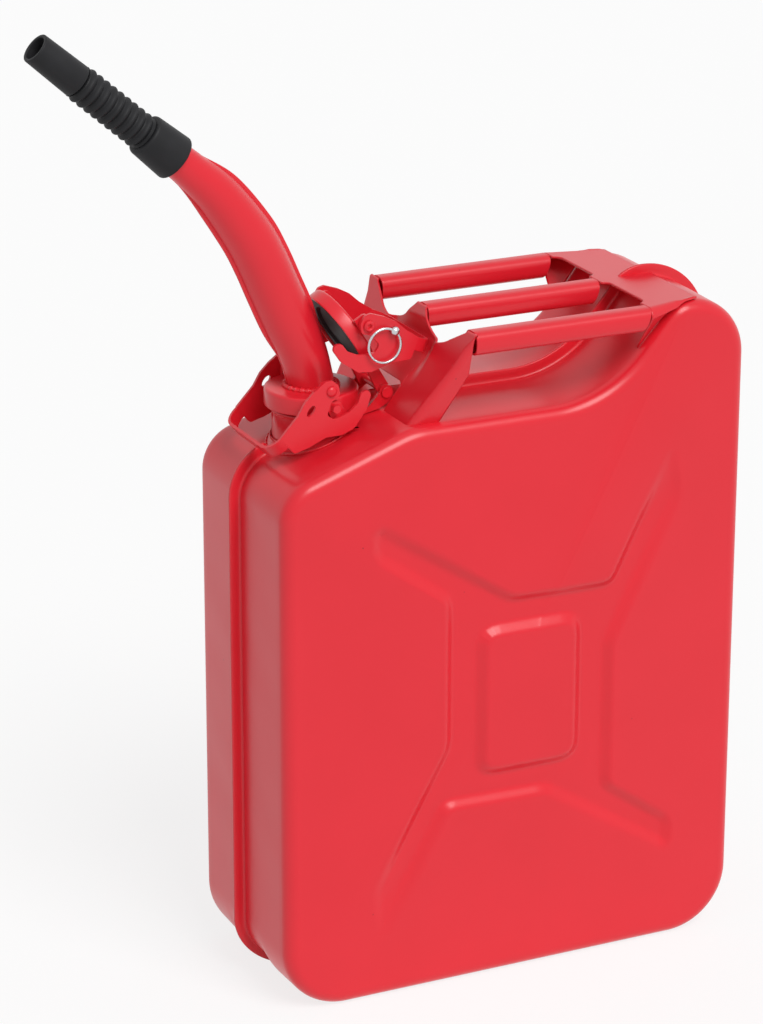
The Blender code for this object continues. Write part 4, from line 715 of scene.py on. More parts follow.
# the weld's skirt as radius and height over the shoulder
SKIRT_RADIUS = 0.0312
SKIRT = ((0.0262, 0.0062), (0.0266, 0.0042), (0.0276, 0.0024), (0.0292, 0.0010), (SKIRT_RADIUS, 0.0001),
         (SKIRT_RADIUS, -0.0012), (0.0262, -0.0012))


def slim_collar(piece, slope):
    """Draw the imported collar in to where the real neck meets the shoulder, and let the ears down to it: its
    rim and crown move along its own plane, and the ears' lowest points go down."""
    mesh = piece.data
    points = np.empty(len(mesh.vertices) * 3)
    mesh.vertices.foreach_get("co", points)
    here = np.array(slope)
    local = (points.reshape(-1, 3) - here[:3, 3]) @ here[:3, :3]
    out, height = np.hypot(local[:, 0], local[:, 1]), local[:, 2]
    rim = (np.abs(out - COLLAR_RIM) < COLLAR_MARGIN) & (height < RIM_TOP)
    crown = (np.abs(out - COLLAR_CROWN) < COLLAR_MARGIN) & (np.abs(height - CROWN_HEIGHT) < COLLAR_MARGIN)
    for chosen, radius in ((rim, SLIM_RIM), (crown, SLIM_CROWN)):
        local[chosen, :2] *= (radius / out[chosen])[:, None]
    ears = (np.abs(local[:, 1]) > EAR_SIDE) & (height < EAR_FOOT)
    local[ears, 2] -= EAR_DROP
    mesh.vertices.foreach_set("co", place_rows(local, here).ravel())
    mesh.update()


class CAN_OT_neck(bpy.types.Operator):
    """Makes the filler neck and its welded bracket"""
    bl_idname = "can.neck"
    bl_label = "Neck and bracket"

    def execute(self, context):
        places = Places()
        outer, top, low = places.spout.neck_radius, places.neck_top, places.neck_foot - NECK_DEPTH
        inner, lip = outer - NECK_WALL, outer + NECK_LIP
        profile = soften([(outer, top), (lip, top - NECK_LIP), (lip, top - 2 * NECK_LIP),
                          (outer, top - 3 * NECK_LIP), (outer, low), (inner, low), (inner, top)], 0.0008, 4)
        dress(revolved("turned_neck", profile, places.at(places.neck_x, 0)), "can", "filler_neck")
        slope = places.at(places.neck_x, places.neck_foot + SHOULDER_LIFT, -places.tilt)
        bracket = pressed_copy("neck_bracket", "welded_bracket")
        slim_collar(bracket, slope)
        dress(bracket, "can", "neck_bracket", bevel=0.0005)
        dress(revolved("collar_skirt", SKIRT, slope), "can")
        weld_bead("collar_weld", slope, SKIRT_RADIUS, lift=0.0001, thick=0.0008, ripples=46)
        dress(pressed_copy("lid_hinge_pin", "hinge_pin"), "can", "lid_hinge_pin", bevel=0.0004)
        return {"FINISHED"}


CAP_ANGLE = math.radians(59)
CAP_REACH = 0.0454
CAP_TOP = 0.0050
HINGE_REACH = 0.045
HINGE_LIFT = 0.0075
ARM_OUTSIDE = 0.0170
ARM_THICK = 0.0025
ARM_EYE = 0.0048
ARM_ROOT = 0.0075
LID_RIVET_X = -0.010 - CAP_REACH
LID_RIVET_RISE = 0.0041


class CAN_OT_cap(bpy.types.Operator):
    """Makes the cap, its gasket and its rivets"""
    bl_idname = "can.cap"
    bl_label = "Cap"

    def execute(self, context):
        places = Places()
        edge = places.spout.cap_radius
        hinge = places.at(places.neck_x + HINGE_REACH, places.neck_top + HINGE_LIFT, CAP_ANGLE)
        middle = hinge @ Matrix.Translation((-CAP_REACH, 0, 0))
        dress(revolved("cap_dish", rounded_dish(places, CAP_TOP, 0), middle, solid=True), "lid", "lid")
        lugs("cap", places, hinge, LID_RIVET_X, CAP_TOP, LID_RIVET_RISE, "lid")
        # the arms start where their inner faces meet the inside of the cap's rim
        root = math.sqrt((edge - DISH_SHEET) ** 2 - (ARM_OUTSIDE - ARM_THICK) ** 2) - CAP_REACH
        top, eye = CAP_TOP - CLEARANCE, ARM_EYE
        arm = soften([(root, top - ARM_ROOT), (root, top), (0, eye), (eye, eye), (eye, -eye), (0, -eye)],
                     [0.001, 0.001, 0.0042, 0.0044, 0.0044, 0.0042], 6)
        for word, side in SIDES:
            near, far = side * (ARM_OUTSIDE - ARM_THICK), side * ARM_OUTSIDE
            dress(plate("cap_hinge_arm_" + word, arm, near, far, hinge), "lid", bevel=0.0005)
        high, rim, inner = CAP_TOP - GASKET_INSET, edge - GASKET_INSET, edge - GASKET_INSET - GASKET_RING
        low = high - GASKET_DEPTH
        ring = [(0, high), (rim, high), (rim, low + GASKET_CHAMFER), (rim - GASKET_CHAMFER, low),
                (inner, low), (inner - GASKET_SLOPE, low + GASKET_STEP), (0, low + GASKET_STEP)]
        dress(revolved("cap_gasket", ring, middle, solid=True), "lid", "lid_gasket", slot="black_rubber")
        rivets = hinge @ Matrix.Translation((LID_RIVET_X, 0, CAP_TOP + LID_RIVET_RISE))
        eyelets("cap", places, rivets, "lid", "lid_rivet_", True)
        return {"FINISHED"}


# from the dish's edge to the lever's arm, the arm itself, and the rivet: its head, shank and boss
LEVER_GAP = 0.0036
LEVER_THICK = 0.0022
HEAD_RISE = 0.0021
HEAD_RADIUS = 0.0036
SHANK = 0.0025
BOSS_RADIUS = 0.0048
BOSS_LENGTH = 0.0030


def eyelets(prefix, places, matrix, body, node, hollow):
    """Two shouldered rivets; a hollow one has a rolled eye, the other a domed head."""
    edge = places.spout.cap_radius
    outer = edge + LEVER_GAP + LEVER_THICK + CLEARANCE
    boss, lug = edge + CLEARANCE, edge - LUG_THICK - CLEARANCE
    if hollow:
        tip, eye = outer + HEAD_RISE, outer + 0.0002
        head = [(0, eye), (0.0013, eye), (0.0014, tip - 0.0006), (0.0020, tip), (0.0028, tip),
                (HEAD_RADIUS, tip - 0.0009), (HEAD_RADIUS, outer)]
    else:
        head = [(HEAD_RADIUS * math.sin(a), outer + HEAD_RISE * math.cos(a))
                for a in np.linspace(0, math.pi / 2, 8)]
    shoulder = boss + BOSS_LENGTH
    rest = [(SHANK, outer), (SHANK, shoulder), (BOSS_RADIUS, shoulder), (BOSS_RADIUS, boss), (SHANK, boss),
            (SHANK, lug), (HEAD_RADIUS, lug), (HEAD_RADIUS, lug - 0.0016), (0.0026, lug - HEAD_RISE),
            (0, lug - HEAD_RISE)]
    for word, side in SIDES:
        turned = matrix @ Matrix.Rotation(-side * math.pi / 2, 4, "X")
        made = revolved(prefix + "_eyelet_" + word, head + rest, turned, SMALL_STEPS, solid=True)
        dress(made, body, node + word)


BASE_DEEPER = 0.0026
SPOUT_RIVET_X = -0.002
SPOUT_RIVET_RISE = 0.006
SEAL_HOLE = 0.018


class CAN_OT_spout(bpy.types.Operator):
    """Makes the spout's base, gasket, welds and two pressed tube halves"""
    bl_idname = "can.spout"
    bl_label = "Spout"

    def execute(self, context):
        places = Places()
        spout, top = places.spout, places.base_top
        on_neck = places.at(places.neck_x, 0)
        foot = spout.tube_radius * TUBE_SHARES[0]
        dish = rounded_dish(places, top, foot - TUBE_SHEET, BASE_DEEPER)
        dress(revolved("base_dish", dish, on_neck), "can", "spout_base")
        lugs("base", places, on_neck, SPOUT_RIVET_X, top, SPOUT_RIVET_RISE, "can")
        weld_bead("tube_weld", on_neck, foot + 0.0014, lift=top + 0.0006, thick=0.0019, ripples=26)
        wall, low, high = spout.cap_radius - GASKET_INSET, places.neck_top + CLEARANCE, top - GASKET_INSET
        seal = soften([(wall, high), (wall, low), (SEAL_HOLE, low), (SEAL_HOLE, high)], GASKET_CHAMFER)
        dress(revolved("base_gasket", seal, on_neck), "can", "spout_gasket", slot="black_rubber")
        rivets = places.at(places.neck_x + SPOUT_RIVET_X, top + SPOUT_RIVET_RISE)
        eyelets("base", places, rivets, "can", "spout_rivet_", False)
        for word, side in SIDES:
            dress(tube_half(places, "pressed_tube_" + word, side), "can", "spout_tube_" + word)
        for node, name in (("spout_air_tube", "air_tube"), ("breather_pipe", "breather")):
            dress(pressed_copy(node, name), "can", node, slot="bright_zinc")
        return {"FINISHED"}


# the tube's way as shares of its run and rise, and its radius and fins as shares of theirs
TUBE_PATH_SHARES = ((0.0, 0.0), (0.065, 0.141), (0.172, 0.285), (0.275, 0.420), (0.372, 0.548),
                    (0.480, 0.665), (0.690, 0.832), (0.893, 0.945), (1.0, 1.0))
TUBE_SHARES = (0.94, 0.97, 1.0, 1.0, 0.99, 0.96, 0.85, 0.73, 0.69)
NO_FIN = 0.02
TUBE_FIN_SHARES = (NO_FIN, NO_FIN, 0.9, 1.0, 1.0, 1.0, 0.9, NO_FIN, NO_FIN)
NOZZLE_ANGLE = math.radians(49)
TUBE_SHEET = 0.0012
# the tube swells towards its fins by this share of their height, over a stretch that the power keeps short
FLARE, FLARE_POWER = 0.55, 5
FIN_EDGE = 0.0002
SLEEVE_GRIP = 0.012


def unit(ways):
    """Directions (n, 2) at length 1."""
    return ways / np.linalg.norm(ways, axis=1)[:, None]


def tube_stations(places, number, overhang):
    """Places, side directions, radii and fins along the tube, as whole arrays: the middle line is a cubic
    through its shares, and the last stretch follows the nozzle's own straight axis."""
    spout = places.spout
    t = np.linspace(0, 1, number + 1)
    path = np.array(TUBE_PATH_SHARES)

    def line(u):
        """The middle line's x and z at shares u of its way."""
        return np.column_stack([places.neck_x - spout.run * read_shares(path[:, 0], u),
                                places.base_top + CLEARANCE + spout.rise * read_shares(path[:, 1], u)])

    along = np.array([-math.sin(NOZZLE_ANGLE), math.cos(NOZZLE_ANGLE)])
    head = unit(line(np.minimum(1, t + 0.01)) - line(np.maximum(0, t - 0.01)))
    mix = part_way(0.85, 1, t)[:, None]
    head = unit(head * (1 - mix) + along * mix)
    head[0] = (0, 1)
    spots = np.vstack([line(t), line(t[-1:]) + along * overhang])
    head = np.vstack([head, head[-1:]])
    across = np.column_stack([head[:, 1], -head[:, 0]])
    t = np.append(t, 1)
    return (spots, across, spout.tube_radius * read_shares(TUBE_SHARES, t),
            spout.tube_fin * np.maximum(read_shares(TUBE_FIN_SHARES, t), NO_FIN))


def tube_half(places, name, side):
    """One half of the tube: its closed section is an outer half circle that flares into a thin fin on each
    edge and an inner half circle, carried along the middle line."""
    spots, across, radius, fin = tube_stations(places, places.spout.sections, SLEEVE_GRIP - CLEARANCE)
    radius, fin = radius[:, None], fin[:, None]
    low, high = SEAM, SEAM + TUBE_SHEET * 0.8
    inner = radius - TUBE_SHEET
    share = np.linspace(0, 1, 29)
    first, last = np.arcsin(high / radius), np.arcsin(low / inner)
    out_angle = first + (np.pi - 2 * first) * share
    in_angle = np.pi - last - (np.pi - 2 * last) * share
    outer = radius + FLARE * fin * (1 - np.sin(out_angle)) ** FLARE_POWER
    tip = radius + fin - np.array([FIN_EDGE, 0, FIN_EDGE])
    step = np.broadcast_to([low, (low + high) / 2, high], tip.shape)
    a = np.hstack([tip, outer * np.cos(out_angle), -tip, inner * np.cos(in_angle)])
    b = np.hstack([step, outer * np.sin(out_angle), step[:, ::-1], inner * np.sin(in_angle)])
    rows = np.stack([spots[:, :1] + across[:, :1] * a, side * b, spots[:, 1:] + across[:, 1:] * a], -1)
    return skin(name, place_rows(rows, places.frame))


def drill(piece, matrix, half_length, half_width, reach):
    """Cut an oval hole right through a piece along the matrix's Y."""
    a = np.linspace(0, 2 * np.pi, 32, endpoint=False)
    oval = np.column_stack([half_length * np.cos(a), half_width * np.sin(a)])
    cutter = plate("drill", oval, -reach, reach, matrix)
    hole = piece.modifiers.new("hole", "BOOLEAN")
    hole.operation, hole.solver, hole.object = "DIFFERENCE", "EXACT", cutter
    bpy.context.view_layer.update()
    cut = bpy.data.meshes.new_from_object(piece.evaluated_get(bpy.context.evaluated_depsgraph_get()))
    piece.modifiers.clear()
    piece.data = cut
    cut.name = piece.name
    cut.set_sharp_from_angle(angle=SHARP_ANGLE)
    bpy.data.objects.remove(cutter)


# the hole's x, z and lean, and its half length and half width
LEVER_HOLE = (-0.1346, 0.4117, math.radians(-52))
HOLE_HALF = (0.0042, 0.0021)
DRILL_REACH = 0.060


class CAN_OT_levers(bpy.types.Operator):
    """Makes the two locking levers, the spout's with an oval hole in each arm"""
    bl_idname = "can.levers"
    bl_label = "Levers"

    def execute(self, context):
        latch = pressed_copy("spout_lever", "spout_latch")
        drill(latch, Places().at(*LEVER_HOLE), *HOLE_HALF, DRILL_REACH)
        dress(latch, "spout_lever", "spout_lever", bevel=0.00055)
        dress(pressed_copy("lid_lever", "cap_latch"), "lid_lever", "lid_lever", bevel=0.00055)
        return {"FINISHED"}


PIN_RADIUS = 0.0022
PIN_HEAD = 0.0052
PIN_POINT = 0.0008
RING_TURNS = 2
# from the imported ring's edge to the middle of the wire, and half the wire's width and depth
WIRE_INSET = 0.0009
WIRE_RADII = (0.00078, 0.00050)
WIRE_PITCH = 0.0010
WIRE_START = 2.2


class CAN_OT_pin(bpy.types.Operator):
    """Makes the locking pin and the split ring's two turns"""
    bl_idname = "can.pin"
    bl_label = "Pin and ring"

    def execute(self, context):
        low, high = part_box("locking_pin")
        head, end = (high.x - low.x) / 2, low.y - high.y
        angle = np.linspace(0, math.pi / 2, 9)
        dome = np.column_stack([head * np.sin(angle), head * 0.8 * (np.cos(angle) - 1)])
        rest = [(head, -PIN_HEAD + 0.0010), (head - 0.0006, -PIN_HEAD), (PIN_RADIUS, -PIN_HEAD - 0.0002),
                (PIN_RADIUS, end + PIN_POINT), (PIN_RADIUS - PIN_POINT, end), (0, end)]
        spot = Matrix.Translation(((low.x + high.x) / 2, low.y, (low.z + high.z) / 2))
        turned = spot @ Matrix.Rotation(math.pi / 2, 4, "X")
        made = revolved("bright_pin", np.vstack([dome, rest]), turned, SMALL_STEPS, solid=True)
        dress(made, "locking_pin", "locking_pin", slot="bright_zinc")
        low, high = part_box("split_ring")
        middle = (low + high) / 2
        # the wire's section carried along a helix, whose second turn lies beside the first
        a = np.linspace(0, 2 * np.pi * RING_TURNS, RING_TURNS * 72 + 1)[:, None]
        b = np.linspace(0, 2 * np.pi, 12, endpoint=False)[None, :]
        out = (high.x - low.x) / 2 - WIRE_INSET + WIRE_RADII[0] * np.cos(b)
        lift = (a / (2 * np.pi * RING_TURNS) - 0.5) * WIRE_PITCH + WIRE_RADII[1] * np.sin(b)
        x, z = out * np.cos(a - WIRE_START), out * np.sin(a - WIRE_START)
        rows = np.stack([middle.x + x, middle.y + lift, middle.z + z], -1)
        dress(skin("coiled_ring", rows), "split_ring", "split_ring", slot="bright_zinc")
        return {"FINISHED"}


# Handle

BAR_SHEET = 0.0015
BAR_ROUND = 0.0072
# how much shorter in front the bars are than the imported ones, which leaves a slit to the front sheet
SLIT = 0.0012
# how far the foot of a bar's rear end lies before its top
BAR_SLANT = 0.0055
# x and z of the front sheet's middle section: its foot, its bend and where its fold starts
SHEET_LINE = ((-0.0760, 0.3992), (-0.0487, 0.4400), (-0.0386, 0.4600))
SHEET_FOLD = 0.0015
SHEET_RUN = 0.0006
SHEET_CORNER = 0.0040
SHEET_FOOT_HALF = 0.060
SHEET_TOP_HALF = 0.0785
# the rounded corners and the flanges stay in front of this x
SHEET_REACH = -0.0383
GAP_MIDDLE = 0.035
# half of a scallop's edge: distance from its middle, and height
SCALLOP = ((0.0, 0.4462), (0.004, 0.4465), (0.008, 0.4473), (0.013, 0.4489), (0.017, 0.4510), (0.021, 0.4541),
           (0.025, 0.4575), (0.028, 0.4601), (0.0295, 0.4640))
# how far the fold's top lies under the bars' tops
FOLD_UNDER = 0.0008
# how much rounder the corners are at the foot, and the flanges' width there and what they lose at the top
FOOT_ROUNDER = 0.0030
FLANGE_WIDTH, FLANGE_LOSS = 0.021, 0.010
LEAST_ROOM = 0.0004
# room in the middle of the sheet for the cap's lever, which swings back with the cap: its depth, where it
# fades sideways, and the heights over which it comes and goes
SHEET_DENT = 0.0042
DENT_SIDE = (0.027, 0.0375)
DENT_FOOT = (0.418, 0.436)
DENT_TOP = (0.4445, 0.457)
HINGE_NOTCH = 0.0225
HINGE_NOTCH_TOP = 0.4180
NOTCH_CORNER = 0.004


def sheet_line(top):
    """The front sheet's middle section as way, x and z: two straight runs, a quarter circle and a flat."""
    start = SHEET_LINE[-1][0]
    angle = np.linspace(0, math.pi / 2, 9)
    bend = np.column_stack([start + SHEET_FOLD * (1 - np.cos(angle)), top - SHEET_FOLD * (1 - np.sin(angle))])
    points = np.vstack([SHEET_LINE[:2], bend, [[start + SHEET_FOLD + SHEET_RUN, top]]])
    way = np.concatenate([[0], np.cumsum(np.linalg.norm(np.diff(points, axis=0), axis=1))])
    return way, points[:, 0], points[:, 1]


def front_sheet(places):
    """The handle's leaning front. Its outline in plan is a rectangle with two rounded corners whose place and
    width are read from the way up s along the middle section; each column runs from its own lowest to its own
    highest s: from the hinge's notch, and to the fold over a bar or to the scallop between two bars."""
    line, line_x, line_z = sheet_line(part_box("handle_bar_near")[1].z - FOLD_UNDER)
    # columns: a share of the half width, a turn round the corner and a share of the flange
    front, corner, run = np.linspace(-1, 1, 281), np.linspace(0, math.pi / 2, 8)[1:], np.linspace(0.06, 1, 10)
    end = np.ones(len(corner) + len(run))
    across = np.concatenate([-end, front, end])
    turned = np.concatenate([corner, np.full_like(run, math.pi / 2)])
    turn = np.concatenate([turned[::-1][1:], [0.0], np.zeros_like(front), turned])
    back = np.concatenate([np.zeros_like(corner), run])
    back = np.concatenate([back[::-1], np.zeros_like(front), back])
    off = np.abs(np.abs(across * (SHEET_TOP_HALF - SHEET_CORNER)) - GAP_MIDDLE)
    last = np.interp(np.interp(off, *np.transpose(SCALLOP)), line_z, line)
    low_y = np.abs(across) * (SHEET_FOOT_HALF - SHEET_CORNER)
    past = np.maximum(low_y - HINGE_NOTCH + NOTCH_CORNER, 0) / NOTCH_CORNER
    notch_z = HINGE_NOTCH_TOP - NOTCH_CORNER * (1 - np.sqrt(np.clip(1 - past ** 2, 0, 1)))
    first = np.where(low_y < HINGE_NOTCH, np.interp(notch_z, line_z, line), 0.0)
    way = first + (last - first) * np.linspace(0, 1, 81)[:, None]
    x, z = np.interp(way, line, line_x), np.interp(way, line, line_z)
    share = part_way(line_z[0], line_z[2], z)
    half = SHEET_FOOT_HALF + (SHEET_TOP_HALF - SHEET_FOOT_HALF) * share
    room = np.maximum(SHEET_REACH - x, LEAST_ROOM)
    radius = np.minimum(room, SHEET_CORNER + FOOT_ROUNDER * (1 - share))
    flange = np.maximum(np.minimum(FLANGE_WIDTH - FLANGE_LOSS * share, room) - radius, 0)
    y = across * (half - radius) + np.sign(across) * radius * np.sin(turn)
    dent = SHEET_DENT * (1 - smooth_step(*DENT_SIDE, np.abs(y)))
    dent = dent * smooth_step(*DENT_FOOT, z) * (1 - smooth_step(*DENT_TOP, z))
    x = x + radius * (1 - np.cos(turn)) + flange * back + dent
    return sheet_surface("folded_front", place_rows(np.stack([x, y, z], -1), places.frame))


# the rear plate: where its cut-outs lie between the bars, and its half widths and corners from front to rear
CUT_INNER, CUT_OUTER = 0.0085, 0.0615
CUT_DEPTH = 0.0048
CUT_CORNER = 0.0055
REAR_HALF = (0.0785, 0.064)
REAR_FOOT = (0.060, 0.064)
REAR_CORNER = (0.0066, 0.002)
REAR_OVERLAP = 0.0004
# how far the plate's foot stands over the hump, and the most of its height that its corners take
REAR_LIFT = 0.0006
CORNER_SHARE = 0.8


def rear_plate(places):
    """The handle's rear: rows run along X from each column's own start, across two flanges that lean in, two
    rounded corners and the flat top; its start is a bar's end, or the rounded cut-out between two bars."""
    low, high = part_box("handle_rear_plate")
    begin, end, top = low.x - places.shift - REAR_OVERLAP, high.x - places.shift, high.z
    # columns: a share of the flange's height, a turn round the corner and a share of the half width
    flange, corner, flat = np.linspace(0, 1, 12), np.linspace(0, math.pi / 2, 9)[1:], np.linspace(-1, 1, 241)
    up, turn = np.append(flange, np.ones_like(corner)), np.append(np.zeros_like(flange), corner)
    side = np.concatenate([-np.ones_like(up), flat, np.ones_like(up)])
    up = np.concatenate([up, np.ones_like(flat), up[::-1]])
    turn = np.concatenate([turn, np.full_like(flat, math.pi / 2), turn[::-1][1:], [0.0]])
    start_y = np.abs(side) * (REAR_HALF[0] - REAR_CORNER[0])
    gap = np.minimum(np.abs(start_y - CUT_INNER), np.abs(start_y - CUT_OUTER)).clip(0, CUT_CORNER)
    bend = np.sqrt(np.maximum(CUT_CORNER ** 2 - (CUT_CORNER - gap) ** 2, 0)) - CUT_CORNER
    inside = (start_y > CUT_INNER) & (start_y < CUT_OUTER)
    start = begin + np.where(inside, np.maximum(CUT_DEPTH + bend, 0), 0)
    x = start + (end - start) * np.linspace(0, 1, 33)[:, None]
    share = (x - begin) / (end - begin)
    half, foot, edge = (a + (b - a) * share for a, b in (REAR_HALF, REAR_FOOT, REAR_CORNER))
    base = np.minimum(hump_profile(places, x) + REAR_LIFT, top - BAR_SHEET)
    edge = np.minimum(edge, (top - base) * CORNER_SHARE)
    y = side * (foot + (half - foot) * up - edge * (1 - np.cos(turn)))
    z = base + (top - edge - base) * up + edge * np.sin(turn)
    return sheet_surface("folded_rear", place_rows(np.stack([x, y, z], -1), places.frame))


def hump_profile(places, x):
    """Height of the body's top at x, read from its outline by straight steps."""
    points, _ = body_outline(places)
    upper = points[(points[:, 1] > places.body.dip_height - 0.002) & (points[:, 0] > places.brow + 0.02)]
    order = np.argsort(upper[:, 0])
    return np.interp(x, upper[order, 0], upper[order, 1])


def sheet_surface(name, rows):
    """An open surface of pressed sheet: quads between rows, given its thickness on the inner side. Its flat
    top has to face up, which tells its outer side."""
    mesh = bpy.data.meshes.new(name)
    mesh.from_pydata(rows.reshape(-1, 3).tolist(), [], quads(rows, False, False))
    with editing(mesh) as work:
        bmesh.ops.remove_doubles(work, verts=work.verts, dist=SAME_PLACE)
        bmesh.ops.recalc_face_normals(work, faces=work.faces)
        if max(work.faces, key=lambda face: face.calc_center_median().z).normal.z < 0:
            bmesh.ops.reverse_faces(work, faces=work.faces)
    made = smooth_object(name, mesh)
    wall = made.modifiers.new("sheet thickness", "SOLIDIFY")
    wall.thickness = BAR_SHEET
    wall.offset = -1
    return made


def rolled_bar(word):
    """A bar of rolled sheet: a rounded hollow section carried along X to a rear end whose foot slants in."""
    low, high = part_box("handle_bar_" + word)
    begin, rings = low.x + SLIT, []
    for x, inset in ((begin, 0), (high.x, 0), (high.x, BAR_SHEET), (begin, BAR_SHEET)):
        left, right, bottom, top = low.y + inset, high.y - inset, low.z + inset, high.z - inset
        y, z = soften([(left, bottom), (left, top), (right, top), (right, bottom)], BAR_ROUND - inset, 9).T
        slant = BAR_SLANT * (1 - part_way(low.z, high.z, z)) ** 1.5 * (x == high.x)
        rings.append(np.column_stack([x - slant, y, z]))
    return skin("rolled_bar_" + word, np.stack(rings), "ring")


class CAN_OT_handle(bpy.types.Operator):
    """Makes the carrying handle's front sheet, three bars and rear plate"""
    bl_idname = "can.handle"
    bl_label = "Handle"

    def execute(self, context):
        places = Places()
        dress(front_sheet(places), "can", "handle_front_sheet")
        dress(rear_plate(places), "can", "handle_rear_plate")
        for word in ("near", "centre", "far"):
            dress(rolled_bar(word), "can", "handle_bar_" + word, bevel=0.0004)
        return {"FINISHED"}


# rows and sharpness of the hose's ribs
RIB_ROWS = 14
RIB_POWER = 0.7
# radii of the sleeve and the tip, each where it starts and where it ends
SLEEVE_RADII = (0.0155, 0.0140)
TIP_RADII = (0.0110, 0.0102)
TIP_STEP = 0.012
TIP_BORE = 0.0078


class CAN_OT_nozzle(bpy.types.Operator):
    """Makes the rubber sleeve, ribbed hose and tip"""
    bl_idname = "can.nozzle"
    bl_label = "Nozzle"

    def execute(self, context):
        places = Places()
        nozzle, spout = places.nozzle, places.spout
        bore, start = nozzle.bore, nozzle.sleeve_length
        axis = places.at(places.neck_x - spout.run, places.base_top + CLEARANCE + spout.rise, -NOZZLE_ANGLE)
        grip = spout.tube_radius * TUBE_SHARES[-1] + spout.tube_fin * NO_FIN + CLEARANCE
        top = start - CLEARANCE
        wide, slim = SLEEVE_RADII
        sleeve = soften([(slim, top), (wide, 0), (grip, 0), (grip, SLEEVE_GRIP), (bore, SLEEVE_GRIP),
                         (bore, top)], [0.0022, 0.0018, 0.0004, 0.0004, 0.0004, 0.0004])
        dress(revolved("rubber_sleeve", sleeve, axis), "can", "nozzle_sleeve", slot="black_rubber")
        # the radius swells by a power of 0.5 - 0.5 cos(turn) along the hose, and the bore runs back inside
        end = start + nozzle.hose_length - CLEARANCE
        h = np.linspace(start, end, nozzle.ribs * RIB_ROWS + 1)
        turn = (h - start) / (end - start) * (nozzle.ribs + 0.5)
        swell = np.clip(0.5 - 0.5 * np.cos(2 * np.pi * (turn - 0.25)), 0, 1) ** RIB_POWER
        r = nozzle.groove_radius + (nozzle.rib_radius - nozzle.groove_radius) * swell
        inside = np.column_stack([np.full(9, bore), np.linspace(end, start, 9)])
        hose = np.vstack([np.column_stack([r, h]), inside])
        made = revolved("ribbed_hose", hose, axis, 64)
        made.data.materials.append(finish_of("black_rubber"))
        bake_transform(made)
        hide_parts("nozzle_ribbed_hose")
        low = start + nozzle.hose_length
        high = low + nozzle.tip_length
        step = high - TIP_STEP
        wide, slim = TIP_RADII
        tip = soften([(slim, high), (wide, low), (bore, low), (bore, step), (TIP_BORE, step),
                      (TIP_BORE, high)], [0.0009, 0.0008, 0.0004, 0.0004, 0.0004, 0.0009])
        dress(revolved("rubber_tip", tip, axis), "nozzle_tip", "nozzle_tip", slot="black_rubber")
        return {"FINISHED"}


# Stage: floor, soft light and the photograph's camera; the aim is in pixels from the picture's middle

CAMERA_AZIMUTH = math.radians(-25.55)
CAMERA_ELEVATION = math.radians(19.73)
CAMERA_ROLL = math.radians(0.05)
FOCAL_PIXELS = 3725.06
PICTURE_HEIGHT = 1024
AIM_RIGHT = 88.44
AIM_DOWN = 111.09
CAMERA_DISTANCE = 2.54039
AIM_HEIGHT = 0.230
SOFTBOX_DIRECTION = (0.10, -0.66, 0.74)
SOFTBOX_ANGLE = math.radians(32)
FLOOR_Z = -0.0004
FLOOR_HALF = 6.0


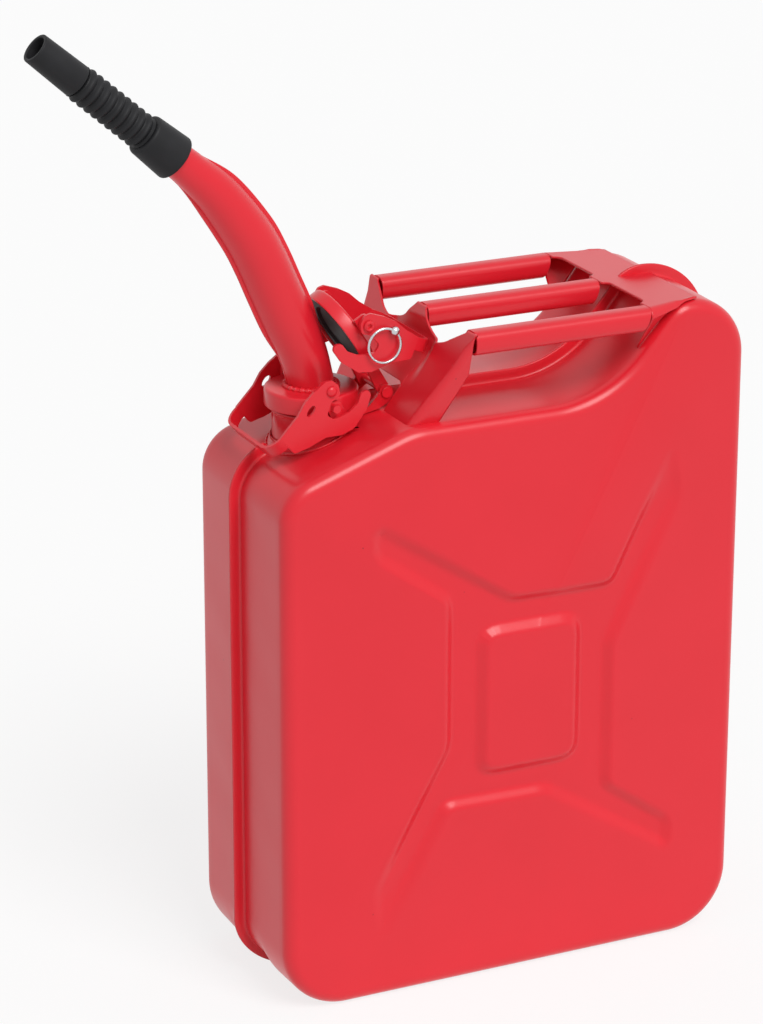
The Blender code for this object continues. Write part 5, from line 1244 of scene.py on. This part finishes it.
class CAN_OT_stage(bpy.types.Operator):
    """Makes the floor, the light and the camera"""
    bl_idname = "can.stage"
    bl_label = "Stage"

    def execute(self, context):
        scene = context.scene
        finishes = scene.can_finishes
        mesh = bpy.data.meshes.new("floor")
        corners = [(x * FLOOR_HALF, y * FLOOR_HALF, FLOOR_Z) for x, y in ((-1, -1), (1, -1), (1, 1), (-1, 1))]
        mesh.from_pydata(corners, [], [(0, 1, 2, 3)])
        mesh.materials.append(paper_floor(finishes))
        floor = add_object("floor", mesh)

        world = bpy.data.worlds.new("soft room")
        scene.world = world
        world.use_nodes = True
        tree = world.node_tree
        tree.nodes.clear()
        white = (1, 1, 1, 1)
        seen = add_node(tree, "ShaderNodeBackground", inputs={"Color": white, "Strength": 1.0})
        even = add_node(tree, "ShaderNodeBackground", inputs={"Color": white, "Strength": finishes.sky})
        mixed = add_node(tree, "ShaderNodeMixShader",
                         links={0: (seen_by(tree), 0), 1: (even, 0), 2: (seen, 0)})
        add_node(tree, "ShaderNodeOutputWorld", links={"Surface": (mixed, 0)})

        lamp = bpy.data.lights.new("softbox", "SUN")
        lamp.energy = finishes.key * math.pi
        lamp.angle = SOFTBOX_ANGLE
        softbox = add_object("softbox", lamp)
        softbox.matrix_world = Vector(SOFTBOX_DIRECTION).to_track_quat("Z", "Y").to_matrix().to_4x4()

        a, e, r = CAMERA_AZIMUTH, CAMERA_ELEVATION, CAMERA_ROLL
        back = Vector((math.sin(a) * math.cos(e), -math.cos(a) * math.cos(e), math.sin(e)))
        level = Vector((math.cos(a), math.sin(a), 0))
        upright = back.cross(level)
        right = level * math.cos(r) + upright * math.sin(r)
        up = upright * math.cos(r) - level * math.sin(r)
        offset = (up * AIM_DOWN - right * AIM_RIGHT) / FOCAL_PIXELS
        spot = Vector((Places().shift, 0, AIM_HEIGHT)) + (back + offset) * CAMERA_DISTANCE
        view = bpy.data.cameras.new("photo camera")
        view.sensor_fit = "AUTO"
        view.sensor_width = 36
        view.lens = FOCAL_PIXELS / PICTURE_HEIGHT * view.sensor_width
        camera = add_object("photo camera", view)
        camera.matrix_world = Matrix.Translation(spot) @ Matrix((right, up, back)).transposed().to_4x4()
        scene.camera = camera
        scene.view_settings.view_transform = "Standard"
        return {"FINISHED"}


STEPS = (CAN_OT_stage, CAN_OT_body, CAN_OT_neck, CAN_OT_cap, CAN_OT_spout, CAN_OT_levers, CAN_OT_pin,
         CAN_OT_handle, CAN_OT_nozzle)
GROUPS = {"can_body": CanBodySizes, "can_spout": CanSpoutSizes, "can_nozzle": CanNozzleSizes,
          "can_finishes": CanFinishes}


class CAN_PT_panel(bpy.types.Panel):
    """Lists the pieces' operators and their sizes"""
    bl_idname = "CAN_PT_panel"
    bl_label = "Jerry can"
    bl_space_type = "VIEW_3D"
    bl_region_type = "UI"
    bl_category = "Jerry can"

    def draw(self, context):
        for name, kind in GROUPS.items():
            column = self.layout.column(align=True)
            for key in kind.__annotations__:
                column.prop(getattr(context.scene, name), key)
        for step in STEPS:
            self.layout.operator(step.bl_idname)


def register():
    for kind in (*GROUPS.values(), *STEPS, CAN_PT_panel):
        bpy.utils.register_class(kind)
    for name, kind in GROUPS.items():
        setattr(bpy.types.Scene, name, PointerProperty(type=kind))


def unregister():
    for name in GROUPS:
        delattr(bpy.types.Scene, name)
    for kind in (CAN_PT_panel, *reversed(STEPS), *GROUPS.values()):
        bpy.utils.unregister_class(kind)


def main():
    """Make every piece in order."""
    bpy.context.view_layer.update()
    register()
    for step in STEPS:
        group, word = step.bl_idname.split(".")
        getattr(getattr(bpy.ops, group), word)()
    bpy.context.view_layer.update()


if __name__ == "__main__":
    main()
